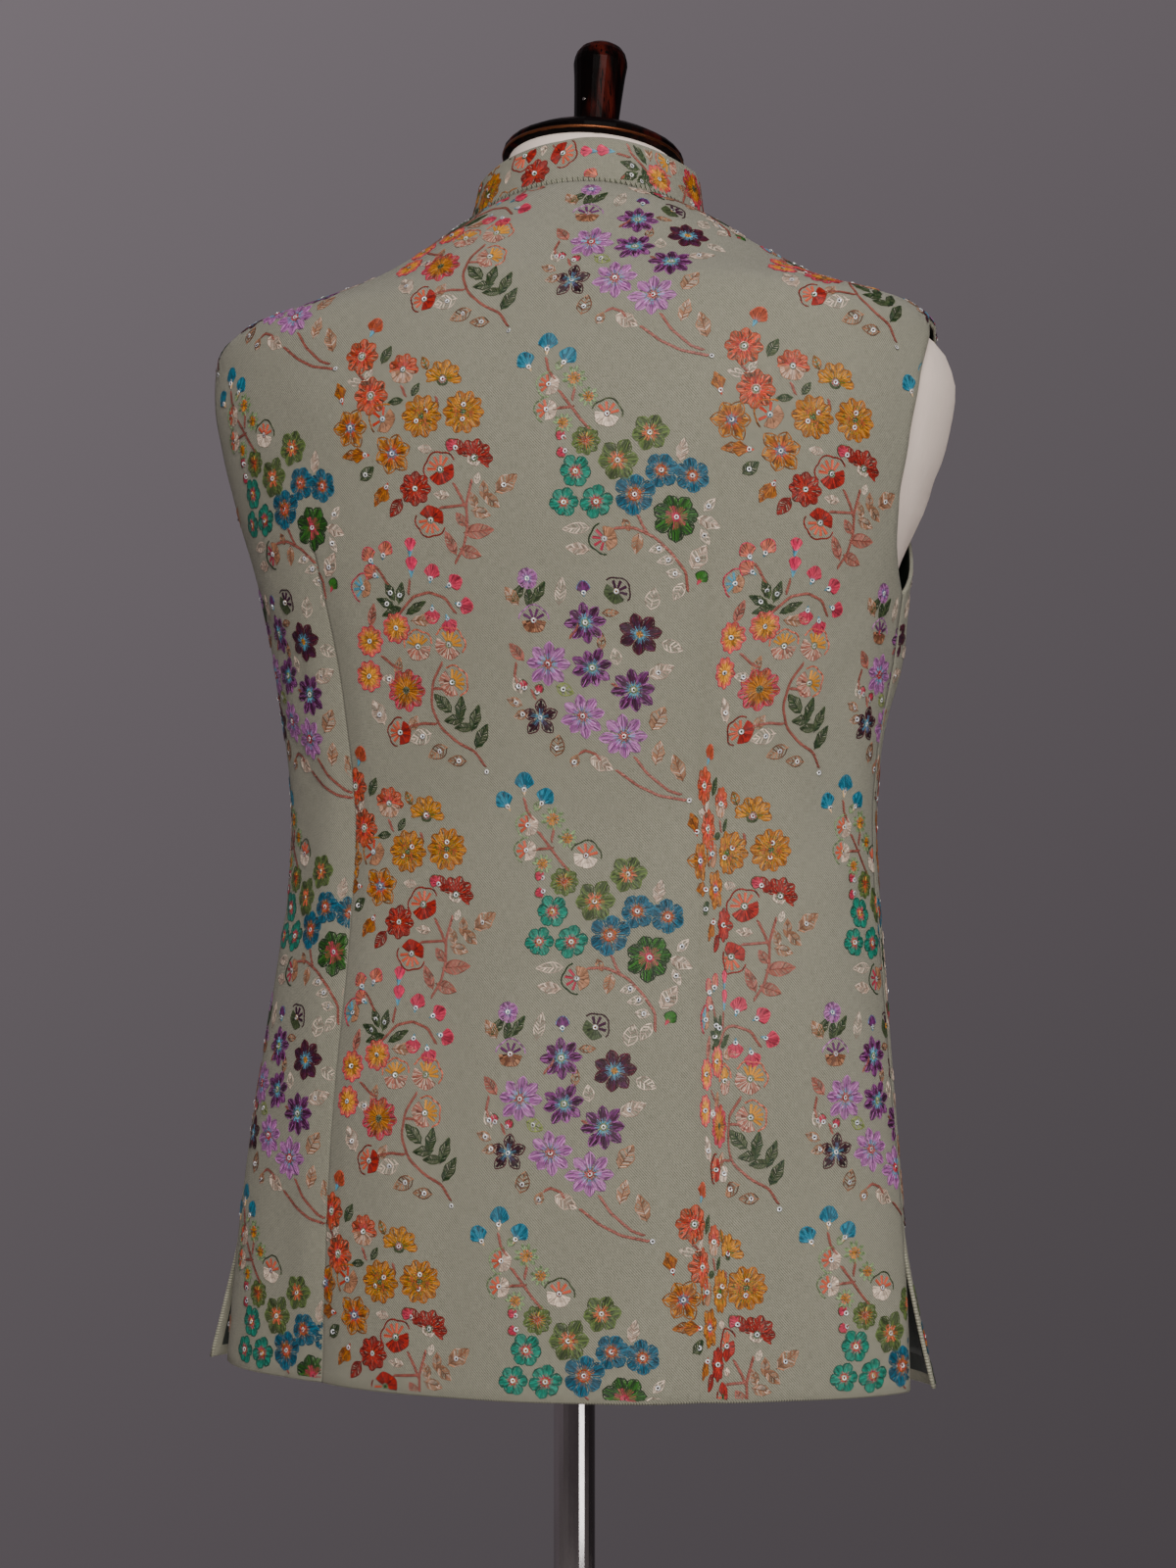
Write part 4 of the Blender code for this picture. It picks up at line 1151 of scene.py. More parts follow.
buds = {
    "azure": dict(fan=("azure", "azure", "ocean"), edge="azure", cup=("apricot", "cream")),
    "pink": dict(fan="rose", edge="hotPink", cup="sky"),
    "pinkSoft": dict(fan=("blush", "salmon"), edge="hotPink", cup="sky"),
    "rust": dict(fan="rust", edge="coral", cup="sky", sequin=False),
    "small": dict(fan="rose", edge="moss", cup="blush"),
    "ochre": dict(fan=("ochre", "bronze"), edge="ochre", cup="flame", wide=1.2),
    "green": dict(fan="leafGreen", edge="deepGreen", cup="rose", sequin=False),
    "dusk": dict(fan="violet", edge="steelBlue", cup="sky"),
    "tulipCrown": dict(fan="hotPink", edge="hotPink", cup="sky", sequin=False, wide=1.0),
}

# Each motif is charted on a millimetre grid: right and up from its middle.
motifCharts = {
    "violetSpray": {
        "blooms": (
            ("violet", -4, 37, 11.5, 8), ("maroon", 26, 32, 12.0, 5), ("lilac", -25, 13, 12.5, 0),
            ("violet", 0, 12, 11.5, 20), ("violet", 23, 1, 12.5, 10), ("starlet", -29, -17, 10.5, 18),
            ("lilac", -5, -15, 12.0, 12), ("lilac", 18, -25, 12.5, 4), ("violetTop", -37, 60, 5.5, 30),
        ),
        "sides": (("lilacRay", -33, 37, 8.5, 92), ("mossRay", 13, 55, 8.0, 48)),
        "buds": (("dusk", -5, 53, 6.5, 96), ("small", -38, -1, 4.5, 115), ("small", -31, -3, 4.5, 60)),
        "leaves": (
            ("tan", -46, 50, 12, 6.5, 130, 0), ("creamOpen", -18, 54, 15, 6, 84, 0),
            ("creamOpen", 33, 52, 12, 8, 80, 0), ("creamOpen", 44, 26, 12, 7, 340, 0),
            ("cream", 38, 12, 15, 8, 24, 1), ("creamOpen", 13, 19, 9, 6, 100, 0),
            ("tanOpen", 5, 27, 9, 4.5, 86, 0), ("tanOpen", 10, 43, 9, 4, 4, 0),
            ("blush", -43, 19, 12, 6, 132, 0), ("creamOpen", -42, 1, 10, 6, 110, 1),
            ("tan", -44, -9, 9, 5, 160, 1), ("tan", -40, -16, 9, 5, 200, 1),
            ("limeOpen", -15, -1, 10, 7, 340, 1), ("tan", 37, -14, 14, 9, 62, 0),
            ("tan", 37, -33, 13, 6.5, 80, 0), ("tan", 48, -41, 15, 7.5, 112, 0),
            ("cream", 6, -41, 14, 8, 335, 0), ("tan", -9, -40, 7, 5, 70, 1),
            ("tanOpen", -19, -32, 12, 8, 80, 1), ("moss", -42, 52, 12, 5, 60, 0),
            ("moss", -30, 53, 13, 5, 62, 0), ("moss", -36, 50, 11, 4.5, 90, 0),
        ),
        "stems": (
            ((24, -36), (31, -45), (43, -54), (50, -56)), ((14, -44), (26, -52), (38, -57), (53, -59)),
            ((-7, -36), (-3, -34), (3, -36), (5, -39)), ((-13, 28), (-9, 33), (-8, 36)),
            ((-32, -7), (-34, -2)), ((-43, 13), (-44, 6), (-42, 1)), ((11, 4), (14, 2)),
        ),
        "sequins": ((55, -59),),
    },
    "lagoonSpray": {
        "blooms": (
            ("fringe", -29, 45, 6.5, 0), ("fringe", -20, 35, 5.5, 10), ("fringe", -33, 20, 5.5, 25),
            ("oliveSmall", -20, 11, 8.0, 0), ("olive", -2, 1, 11.5, 6), ("olive", 15, 17, 10.5, 12),
            ("tealPetal", -25, -6, 8.8, 0), ("tealPetal", -13, -22, 8.8, 18),
            ("petrol", 8, -17, 11.5, 30), ("petrol", 22, -3, 9.5, 12), ("petrol", 39, -5, 9.5, 40),
            ("green", 31, -28, 13.0, 8), ("tealPetal", -31, -23, 8.0, 9),
        ),
        "sides": (
            ("shellCup", -43, 41, 7.0, 165), ("shellCup", -43, 27, 7.0, 170),
            ("greenRay", -9, 26, 8.5, 78), ("roseRay", -8, -42, 8.5, 195),
        ),
        "buds": (
            ("azure", -46, 60, 9.5, 92), ("azure", -55, 50, 9.0, 125), ("azure", -36, 53, 9.0, 62),
            ("small", -32, 12, 5.0, 150), ("small", -31, 5, 5.0, 205), ("green", 44, -63, 6.5, 60),
        ),
        "leaves": (
            ("creamOpen", -24, -37, 15, 6, 186, 0), ("cream", -23, -48, 13, 6, 176, 0),
            ("cream", 33, 9, 12, 6, 82, 0), ("cream", 49, -30, 13, 6.5, 342, 0),
            ("creamOpen", 49, -20, 9, 4.5, 50, 1), ("creamOpen", 47, -38, 9, 4.5, 300, 1),
            ("cream", 44, -49, 15, 9, 60, 1), ("creamOpen", 21, -46, 9, 5, 200, 1),
            ("creamOpen", 26, -52, 10, 5, 196, 1), ("creamOpen", 30, -59, 8, 5, 176, 1),
            ("creamOpen", 33, -69, 11, 6, 242, 0), ("tan", 10, -44, 11, 6, 262, 0),
            ("mintOpen", -38, 52, 6, 4, 60, 0), ("tanOpen", 4, -34, 7, 4, 300, 0),
        ),
        "stems": (
            ((-37, 38), (-30, 30), (-24, 23), (-18, 17)),
            ((-3, -36), (8, -35), (20, -40), (29, -48), (37, -58), (38, -68)),
            ((10, -28), (13, -34), (15, -37)), ((-46, 56), (-44, 49), (-40, 44)), ((-37, 28), (-28, 29)),
            ((-28, 40), (-29, 33)),
        ),
        "sequins": (),
    },
    "amberSpray": {
        "blooms": (
            ("rust", -42, 48, 10.5, 0), ("rust", -33, 25, 10.8, 12), ("ochre", -45, 7, 11.5, 4),
            ("ochre", -17, -7, 12.0, 20), ("mustard", 0, 14, 12.0, 0), ("mustard", 25, 17, 12.0, 45),
            ("poppy", -2, -26, 9.5, 10),
        ),
        "sides": (
            ("tanRay", -14, 40, 9.5, 88), ("amberRay", -24, 12, 9.0, 150),
            ("redRay", 13, -15, 10.0, 120), ("redRay", 8, -43, 9.5, 250),
            ("mustardTop", 11, 35, 11.0, 88), ("poppyTop", 33, -8, 10.5, 70),
        ),
        "buds": (
            ("rust", -38, 62, 9.0, 70), ("ochre", -52, 22, 8.0, 110), ("ochre", -34, -8, 8.5, 182),
            ("ochre", -20, -25, 8.0, 250), ("small", 22, -3, 6.5, 150),
        ),
        "leaves": (
            ("moss", -26, 49, 11, 6, 66, 0), ("creamOpen", -45, 33, 9, 4.5, 172, 0),
            ("creamOpen", -36, 37, 8, 4, 52, 0), ("ochre", -54, 28, 10, 5, 118, 0),
            ("ochre", -44, -8, 12, 5.5, 190, 0), ("ochre", -25, -31, 12, 5.5, 244, 0),
            ("ochreOpen", -1, 44, 8, 4.5, 120, 0), ("moss", -17, 22, 9, 4, 190, 0),
            ("moss", -5, 29, 8, 4, 60, 0), ("cream", 3, -4, 8, 4.5, 175, 0),
            ("moss", -33, -18, 11, 7, 40, 1), ("brick", -14, -37, 12, 7, 235, 0),
            ("brick", 22, -1, 11, 6, 150, 0), ("tan", 52, -21, 15, 9, 40, 1),
            ("tan", 39, -25, 10, 5, 92, 0), ("tan", 44, -31, 11, 6, 322, 0),
            ("tan", 33, -31, 9, 5, 110, 0), ("tan", 38, -38, 11, 6, 350, 0),
            ("blush", 37, -48, 17, 8, 8, 0), ("blush", 26, -42, 9, 5, 130, 0),
            ("blush", 20, -55, 14, 5.5, 118, 0), ("blush", 32, -60, 13, 7, 345, 0),
            ("cream", 14, -29, 9, 4.5, 176, 0), ("creamOpen", 35, -19, 6, 3.5, 80, 0),
        ),
        "stems": (
            ((32, -20), (29, -33), (30, -46), (28, -57), (23, -66)), ((21, -22), (26, -30), (29, -36)),
            ((13, -36), (21, -35), (28, -34)), ((-42, 37), (-38, 34)), ((-14, 31), (-11, 25)),
            ((8, 25), (9, 22)),
        ),
        "sequins": (),
    },
    "roseSpray": {
        "blooms": (
            ("pinkGold", -11, 21, 8.8, 0), ("pinkGold", -29, 13, 9.0, 20), ("pinkGold", -30, -7, 9.0, 8),
            ("roseGold", -5, -14, 12.0, 0),
        ),
        "sides": (
            ("tulipTan", -33, 43, 8.0, 170), ("pinkRay", 3, 11, 9.5, 100), ("pinkRay", 22, 13, 10.0, 60),
            ("pinkRay", 24, -8, 9.5, 30), ("redRay", -9, -38, 8.5, 170),
        ),
        "buds": (
            ("pinkSoft", -27, 58, 8.0, 120), ("pinkSoft", -19, 61, 8.0, 70),
            ("pinkSoft", -24, 50, 8.0, 150), ("pink", 11, 49, 8.0, 78), ("pink", 22, 46, 8.0, 30),
            ("pink", 28, 36, 8.0, 350), ("pink", 12, 33, 8.0, 270), ("pink", 21, 28, 8.0, 290),
            ("tulipCrown", -1, 52, 8.5, 90), ("tulipCrown", -2, 63, 8.0, 88),
        ),
        "leaves": (
            ("moss", -15, 42, 12, 5, 118, 1), ("moss", -8, 41, 12, 5, 80, 1),
            ("moss", -18, 35, 12, 5, 160, 1), ("moss", -14, 30, 13, 5, 202, 0),
            ("moss", 2, 33, 14, 4.5, 32, 0), ("tan", 7, 26, 15, 6, 4, 0),
            ("blush", -27, 28, 13, 5, 78, 0), ("tanOpen", -10, -1, 11, 5, 80, 0),
            ("creamOpen", -17, -8, 8, 5, 178, 1), ("cream", -24, -27, 15, 9, 122, 1),
            ("creamOpen", 4, -40, 14, 9, 200, 1), ("tanOpen", 15, -48, 13, 8, 208, 1),
            ("tanOpen", 27, -52, 11, 6, 182, 1), ("moss", 18, -20, 14, 7, 138, 0),
            ("moss", 29, -22, 13, 6, 84, 0), ("moss", 25, -29, 12, 5.5, 190, 0),
            ("moss", 38, -27, 15, 6, 74, 0), ("moss", 31, -33, 11, 5, 186, 0),
            ("moss", 42, -37, 15, 6.5, 64, 0), ("tan", 0, -32, 9, 6, 60, 0),
        ),
        "stems": (
            ((-9, 29), (0, 39), (10, 42), (20, 39), (26, 31)), ((-16, 45), (-21, 52), (-24, 55)),
            ((-3, 40), (-2, 48)),
            ((18, 3), (12, -8), (11, -22), (17, -34), (28, -42), (38, -46), (44, -54)),
            ((-21, 5), (-14, 0), (-9, -2)), ((-3, -34), (6, -32), (14, -32)),
            ((24, -16), (18, -12), (13, -12)),
        ),
        "sequins": ((45, -57),),
    },
}


def stitchMotif(name, seed):
    chart, book = motifCharts[name], StitchBook(seed)
    for way in chart["stems"]:
        stitchStem(book, way)
    for kind, u, v, length, width, turn, sequin in chart["leaves"]:
        stitchLeaf(book, u, v, length, width, leaves[kind], turn, bool(sequin))
    kindsOf = {"buds": (stitchBud, buds), "sides": (stitchSideBloom, sideBlooms),
               "blooms": (stitchBloom, blooms)}
    for rows, (stitch, kinds) in kindsOf.items():
        for kind, u, v, size, turn in chart[rows]:
            stitch(book, u, v, size, kinds[kind], turn)
    for u, v in chart["sequins"]:
        book.sequin(u, v)
    return book.finished()


motifs = {name: stitchMotif(name, 11 + number) for number, name in enumerate(motifCharts)}
print("motifs stitched")

repeat = {
    "pitch": 0.110,  # between columns, round the body
    "rowPitch": 0.1175,
    "columns": (  # first column's place, height of the first row, motifs from the hem up
        (-0.0475, 0.048, ("lagoonSpray", "violetSpray")),
        (0.0630, 0.062, ("amberSpray", "roseSpray")),
    ),
    "nudge": {"lagoonSpray": -0.0055, "violetSpray": 0.0055, "amberSpray": 0.0, "roseSpray": 0.0},
    # The repeat is uneven from row to row: up, and to the side.
    "rowShift": (-0.016, -0.016, -0.011, -0.010, -0.003, 0.0, 0.0),
    "rowSlide": (0.0, 0.0045, 0.0075, 0.0050, 0.0020, 0.0010, 0.0),
    "dartPlace": (leftDart, rightDart),
    "dartIntake": (0.022, 0.036),
    "dartGathered": (0.001, 0.016),  # the cloth beside the dart that its fold draws together
    "dartTop": 1.33,
    "dartFull": 1.12,
    "front": 0.53,  # the fabric's own measure at the centre front
    "leanFrom": 0.35,  # the height where the columns lie at their places
    "motifHalf": 0.07,
    "margin": 0.0012,  # bare cloth along the edges
    "tauStep": 0.0015,
    "tauTop": 0.75,
    "hold": 0.00012,  # how far the stitches' feet are above the cloth
    "collar": (  # motif, place round the neck, height of its middle
        ("amberSpray", 0.040, 0.0115), ("roseSpray", -0.0865, 0.0212), ("roseSpray", 0.1575, 0.0212),
        ("amberSpray", -0.2040, 0.0115),
    ),
}


def fabricHeights(placeOf):
    # For each column of the fabric, the height where the cloth is so far above the hem.
    tau = climbed(body.sample(body.points, body.z[:, None], placeOf(body.z[:, None], body.s[None])))
    return np.stack([np.interp(tauLine, tau[:, c], body.z) for c in range(len(body.s))], axis=1)


def fromFront(z, fabric):
    # On the fronts the grain follows the centre front.
    return fabric + np.sign(fabric) * (body.length(z) - repeat["front"])


tauLine = np.arange(0, repeat["tauTop"], repeat["tauStep"])
backHeights, frontHeights = fabricHeights(lambda z, fabric: fabric), fabricHeights(fromFront)


def heightAt(tau, s, heightTable=backHeights):
    return readLattice(heightTable, tau / repeat["tauStep"], (s + body.reach) / body.sStep)


def throughDarts(fabric, tau):
    # Where the fabric's own measure round the body lands once the darts are sewn.
    z, left = heightAt(tau, fabric), fabric > 0
    side = lambda key: np.where(left, *repeat[key])
    dart = side("dartPlace") * body.length(z)
    taken = side("dartIntake") * smoothStep(repeat["dartTop"], repeat["dartFull"], z)
    gathered, past = side("dartGathered"), np.abs(fabric) - dart
    drawn = past * gathered / (gathered + taken)
    hidden = (past > 0) & (past < taken) & left
    moved = dart + np.where(past < gathered + taken, drawn, past - taken)
    return np.where(past > 0, np.sign(fabric) * moved, fabric), hidden


def repeatPlaces(low, high):
    # Every place of the repeat between two measures round the body, and a little beyond.
    places = []
    for first, rise, kinds in repeat["columns"]:
        for column in range(-4, 5):
            for row, (shift, slide) in enumerate(zip(repeat["rowShift"], repeat["rowSlide"])):
                kind = kinds[row % 2]
                tau = rise + repeat["rowPitch"] * row + shift
                s = first + 2 * repeat["pitch"] * column + repeat["nudge"][kind] + slide
                s += panelCut["grainLean"] * (repeat["leanFrom"] - tau)
                if low - repeat["motifHalf"] < s < high + repeat["motifHalf"]:
                    places.append((kind, s, tau))
    return places


def spreadStitches(kind, s, tau, lean):
    stitches, sequins = motifs[kind]
    turn = np.array([[math.cos(lean), math.sin(lean)], [-math.sin(lean), math.cos(lean)]])

    def onFabric(points):
        moved = points @ turn.T / 1000
        return np.column_stack([s - moved[:, 0], tau + moved[:, 1]])

    starts, ends, sizes, colours = (stitches[:, k : k + n] for k, n in ((0, 2), (2, 2), (4, 2), (6, 3)))
    return onFabric(starts), onFabric(ends), sizes / 1000, colours, onFabric(sequins)


def strandMesh(name, starts, ends, sizes, colours, startNormals, endNormals):
    # One ridge of two quads for each stitch, its feet on the cloth and its crest above.
    count = len(starts)
    run = unit(ends - starts)
    across = [unit(np.cross(normal, run)) * sizes[:, [0]] / 2 for normal in (startNormals, endNormals)]
    rise = [normal * sizes[:, [1]] for normal in (startNormals, endNormals)]
    points = np.stack([
        starts + across[0] * 0.9, starts + rise[0] * 0.9, starts - across[0] * 0.9,
        ends + across[1] * 0.8, ends + rise[1] * 0.8, ends - across[1] * 0.8,
    ], axis=1).reshape(-1, 3)
    base = 6 * np.arange(count)[:, None]
    quads = np.concatenate([base + [0, 1, 4, 3], base + [1, 2, 5, 4]], axis=1).reshape(-1, 4)
    made = quickMesh(name, points, quads, [finishes["thread"]])
    shade = made.data.color_attributes.new("stitchColour", "FLOAT_COLOR", "POINT")
    rows = np.ones((count * 6, 4))
    rows[:, :3] = np.repeat(colours, 6, axis=0)
    shade.data.foreach_set("color", rows.ravel())
    reach = np.linalg.norm(ends - starts, axis=1) * 100
    offset = (np.arange(count) * 0.618) % 1
    u = np.stack([offset] * 3 + [offset + reach] * 3, axis=1)
    v = np.tile([0.0, 0.1, 0.2, 0.0, 0.1, 0.2], (count, 1))
    giveUv(made, "threadUV", np.stack([u, v], axis=2).reshape(-1, 2)[quads.ravel()])
    return onPart(made, "cloth")


sequinCut = {
    "sides": 9,
    "radius": 0.0015,
    "rings": ((0.00066, 0.00036), (0.00150, 0.00060), (0.00070, 0.00052)),  # radius and rise
    "aslant": 0.20,
}


def sequinMesh(name, centres, normals):
    # Small rings, each dished a little and a little aslant.
    sides, random = sequinCut["sides"], np.random.default_rng(5)
    facing = unit(normals + sequinCut["aslant"] * random.normal(size=normals.shape))
    side = unit(np.cross(facing, random.normal(size=normals.shape)))
    ahead = np.cross(side, facing)
    angle = (2 * math.pi * np.arange(sides) / sides)[None, :, None]
    points = []
    for radius, rise in sequinCut["rings"]:
        ring = radius * (np.cos(angle) * side[:, None] + np.sin(angle) * ahead[:, None])
        points.append(centres[:, None] + ring + normals[:, None] * rise)
    points = np.stack(points, axis=1).reshape(-1, 3)
    here, after = np.arange(sides), (np.arange(sides) + 1) % sides
    quads = np.concatenate([
        np.stack([low * sides + here, high * sides + here, high * sides + after, low * sides + after],
                 axis=1)
        for low, high in ((2, 1), (1, 0), (0, 2))
    ])
    first = 3 * sides * np.arange(len(centres))[:, None, None]
    return onPart(quickMesh(name, points, (quads[None] + first).reshape(-1, 4), [finishes["sequin"]],
                            smooth=False), "cloth")


def onPanel(edgeLow, edgeHigh, liftOf, front=False):
    # A function from the fabric's own measures to a point on the sewn panel.
    def place(fabric, tau, margin, lift):
        if front:
            z, hidden = heightAt(tau, fabric, frontHeights), np.zeros(len(fabric), bool)
            s = fromFront(z, fabric)
        else:
            s, hidden = throughDarts(fabric, tau)
            z = heightAt(tau, s)
        low, high = np.minimum(edgeLow(z), edgeHigh(z)), np.maximum(edgeLow(z), edgeHigh(z))
        inside = ~hidden & (s > low + margin) & (s < high - margin)
        inside = inside & (tau > margin) & (z < body.neckZ - margin)
        point, normal = body.place(z, s, liftOf(z, s) + lift)
        return point, normal, inside
    return place


def onCollar(fabric, tau, margin, lift):
    point, facing = collarPoint(fabric, tau)
    end = body.lengthAt[-1] - collarCut["split"]
    inside = (tau > collarCut["clear"] + margin) & (tau < collarTop(fabric) - margin)
    return point + facing * lift, facing, inside & (np.abs(fabric) < end - margin)


def embroider(name, places, place, lean=panelCut["grainLean"]):
    # Lays motifs on a panel and joins their stitches in one mesh for each motif.
    count, ringed, margin, hold = 0, [], repeat["margin"], repeat["hold"]
    for kind in motifs:
        rows = [spreadStitches(kind, s, tau, lean) for which, s, tau in places if which == kind]
        if not rows:
            continue
        starts, ends, sizes, colours, sequins = (np.concatenate(group) for group in zip(*rows))
        a, aNormal, aInside = place(starts[:, 0], starts[:, 1], margin, hold)
        b, bNormal, bInside = place(ends[:, 0], ends[:, 1], margin, hold)
        reach = np.linalg.norm(a - b, axis=1)
        cut = np.linalg.norm(starts - ends, axis=1)
        keep = aInside & bInside & (reach > 0.0001) & (reach < cut * 1.5 + 0.001)
        if keep.any():
            strandMesh(name + kind[0].upper() + kind[1:], a[keep], b[keep], sizes[keep], colours[keep],
                       aNormal[keep], bNormal[keep])
            count += keep.sum()
        centre, normal, inside = place(sequins[:, 0], sequins[:, 1], margin + sequinCut["radius"], hold)
        ringed.append(np.column_stack([centre, normal])[inside])
    ringed = np.concatenate(ringed)
    sequinMesh(name + "Sequins", ringed[:, :3], ringed[:, 3:])
    print(name, count, "stitches,", len(ringed), "sequins")


embroider("back", repeatPlaces(-0.31, 0.31), onPanel(lambda z: -backEdge(z), backEdge, foldLift))
embroider("frontLeft", repeatPlaces(0.27, 0.55),
          onPanel(frontEdge, lambda z: body.length(z) + lap, leftLift, front=True))
embroider("frontRight", repeatPlaces(-0.55, -0.27),
          onPanel(lambda z: -frontEdge(z), lambda z: -body.length(z) - lap, rightLift, front=True))
embroider("collar", repeat["collar"], onCollar, math.radians(-90))
print("embroidery done")

trimSize = {
    "buttonCount": 6,
    "buttonTopZ": 1.405,
    "buttonLowZ": 0.960,
    "buttonStand": 0.0005,
    "buttonRadius": 0.0090,
    "buttonThick": 0.0030,
    "dish": 0.0009,
    "rim": 0.0018,
    "holeRadius": 0.00085,
    "holePlace": 0.0017,
    "slit": (-0.0015, 0.0175),  # buttonhole, from the centre line towards the side
    "seamStep": 0.0031,
}


def selectFaces(made, wanted):
    # Leaves the piece in edit mode with only the wanted faces selected.
    bpy.context.view_layer.objects.active = made
    bpy.ops.object.mode_set(mode="EDIT")
    bpy.ops.mesh.select_mode(type="FACE")
    bpy.ops.mesh.select_all(action="DESELECT")
    mesh = bmesh.from_edit_mesh(made.data)
    for face in mesh.faces:
        face.select_set(wanted(face))
    bmesh.update_edit_mesh(made.data)


def applied(made, kind, **values):
    modifier = made.modifiers.new(kind.lower(), kind)
    for key, value in values.items():
        setattr(modifier, key, value)
    bpy.context.view_layer.objects.active = made
    bpy.ops.object.modifier_apply(modifier=modifier.name)


def modelButton():
    # A dished button with a rim and four holes, its seat at the origin.
    thick = trimSize["buttonThick"]
    bpy.ops.mesh.primitive_cylinder_add(vertices=48, radius=trimSize["buttonRadius"], depth=thick,
                                        location=(0, 0, thick / 2))
    button = bpy.context.active_object
    bpy.ops.object.transform_apply()
    selectFaces(button, lambda face: face.normal.z > 0.9)
    bpy.ops.mesh.inset(thickness=trimSize["rim"])
    bpy.ops.mesh.inset(thickness=0.0006)
    bpy.ops.transform.translate(value=(0, 0, -trimSize["dish"]))
    bpy.ops.object.mode_set(mode="OBJECT")
    applied(button, "BEVEL", width=0.0005, segments=3, limit_method="ANGLE")
    for turn in range(4):
        angle = math.radians(45 + 90 * turn)
        place = (trimSize["holePlace"] * math.cos(angle), trimSize["holePlace"] * math.sin(angle),
                 thick / 2)
        bpy.ops.mesh.primitive_cylinder_add(vertices=20, radius=trimSize["holeRadius"], depth=3 * thick,
                                            location=place)
        drill = bpy.context.active_object
        applied(button, "BOOLEAN", object=drill, operation="DIFFERENCE", solver="EXACT")
        bpy.data.objects.remove(drill)
    button.data.materials.clear()
    button.data.materials.append(finishes["horn"])
    bpy.context.view_layer.objects.active = button
    button.select_set(True)
    bpy.ops.object.shade_smooth_by_angle(angle=math.radians(35))
    return button


def strandsBetween(name, pairs, colours, width, rise):
    # Stitches from a list of (start, start normal, end, end normal).
    rows = [np.array(column, float).reshape(-1, 3) for column in zip(*pairs)]
    random = np.random.default_rng(3)
    shade = threadShade(colours, len(pairs), random) * (1 + 0.12 * random.normal(size=(len(pairs), 1)))
    sizes = np.tile([width, rise], (len(pairs), 1))
    return strandMesh(name, rows[0], rows[2], sizes, shade, rows[1], rows[3])


def sewButtons():
    pattern, crosses, holes = modelButton(), [], []
    heights = np.linspace(body.hemZ, body.neckZ, 300)
    frontLine = body.place(heights, body.length(heights), 0 * heights)[0][:, 2]
    for number in range(trimSize["buttonCount"]):
        frontZ = np.interp(number, (0, trimSize["buttonCount"] - 1),
                           (trimSize["buttonTopZ"], trimSize["buttonLowZ"]))
        z = np.array([np.interp(frontZ, frontLine, heights)])
        s = body.length(z)
        seat, normal = (row[0] for row in body.place(z, s, leftLift(z, s) + trimSize["buttonStand"]))
        side = unit(np.cross([0.0, 0.0, 1.0], normal))
        ahead = np.cross(normal, side)
        placed = Matrix(((side[0], ahead[0], normal[0], seat[0]), (side[1], ahead[1], normal[1], seat[1]),
                         (side[2], ahead[2], normal[2], seat[2]), (0, 0, 0, 1)))
        made = bpy.data.objects.new(f"hornButton{number + 1}", pattern.data.copy())
        made.data.transform(placed)
        bpy.context.scene.collection.objects.link(made)
        onPart(made, "button", f"button_{number + 1}")
        top = seat + normal * (trimSize["buttonThick"] - trimSize["dish"] - 0.0002)
        corner = [trimSize["holePlace"] * (math.cos(a) * side + math.sin(a) * ahead)
                  for a in np.radians((45, 135, 225, 315))]
        for first, second in ((0, 2), (1, 3)):
            for shift in (-0.00030, 0.0, 0.00030):
                aside = unit(np.cross(normal, corner[first])) * shift
                crosses.append((top + corner[first] + aside, normal, top + corner[second] + aside, normal))
        reach = np.arange(*trimSize["slit"], 0.00075)
        for edge in (-1, 1):
            for step in reach:
                a, aNormal = body.place(z + edge * 0.0003, s - step, leftLift(z, s - step) + 0.0001)
                b, bNormal = body.place(z + edge * 0.0024, s - step, leftLift(z, s - step) + 0.0001)
                holes.append((a[0], aNormal[0], b[0], bNormal[0]))
    bpy.data.objects.remove(pattern)
    strandsBetween("buttonThreads", crosses, ("deepGreen", "moss"), 0.00050, 0.00055)
    strandsBetween("buttonholeStitches", holes, ("moss", "olive"), 0.00072, 0.00042)


def sewSeams():
    # Small stitches where the collar is set on.
    end, neckZ = body.lengthAt[-1] - 0.006, np.array([body.neckZ])
    pairs = []
    for s in np.arange(-end, end, trimSize["seamStep"]):
        here = np.array([s])
        panelLift = (foldLift if abs(s) < body.side(body.neckZ) else leftLift)(neckZ, here)
        a, aNormal = body.place(neckZ - 0.0010, here - 0.0005, panelLift + 0.0001)
        b, facing = collarPoint(here + 0.0006, np.array([0.0024]))
        pairs.append((a[0], aNormal[0], b[0] + facing[0] * 0.0001, facing[0]))
    strandsBetween("collarStitches", pairs, ("deepGreen", "ink"), 0.00045, 0.00040)


sewButtons()
sewSeams()
print("buttons and seams sewn")

formShape = {
    "bottomZ": 0.885,
    "columns": 208,
    "rowStep": 0.0100,
    "neckRadius": 0.0495,
    "capCentre": (0.0, -0.0385, 1.538),
    "capTilt": math.radians(14.5),
    "neckRings": 22,
    "seams": (-0.023, 0.245, -0.245),  # lines where the linen cover is sewn together
    "seamDepth": 0.0008,
    "seamWidth": 0.0024,
    "lapEase": (-0.085, -0.048),  # from the centre line, where the form gives way to the lap
    "plateX": 0.2030,  # beyond this the end of the shoulder is a flat plate under the linen
    "plateStep": 0.0012,
    "plateEdge": (-0.001, 0.002),
    "plateRoll": 0.0022,
    "axis": (0.0, -0.03, 0.0),
}


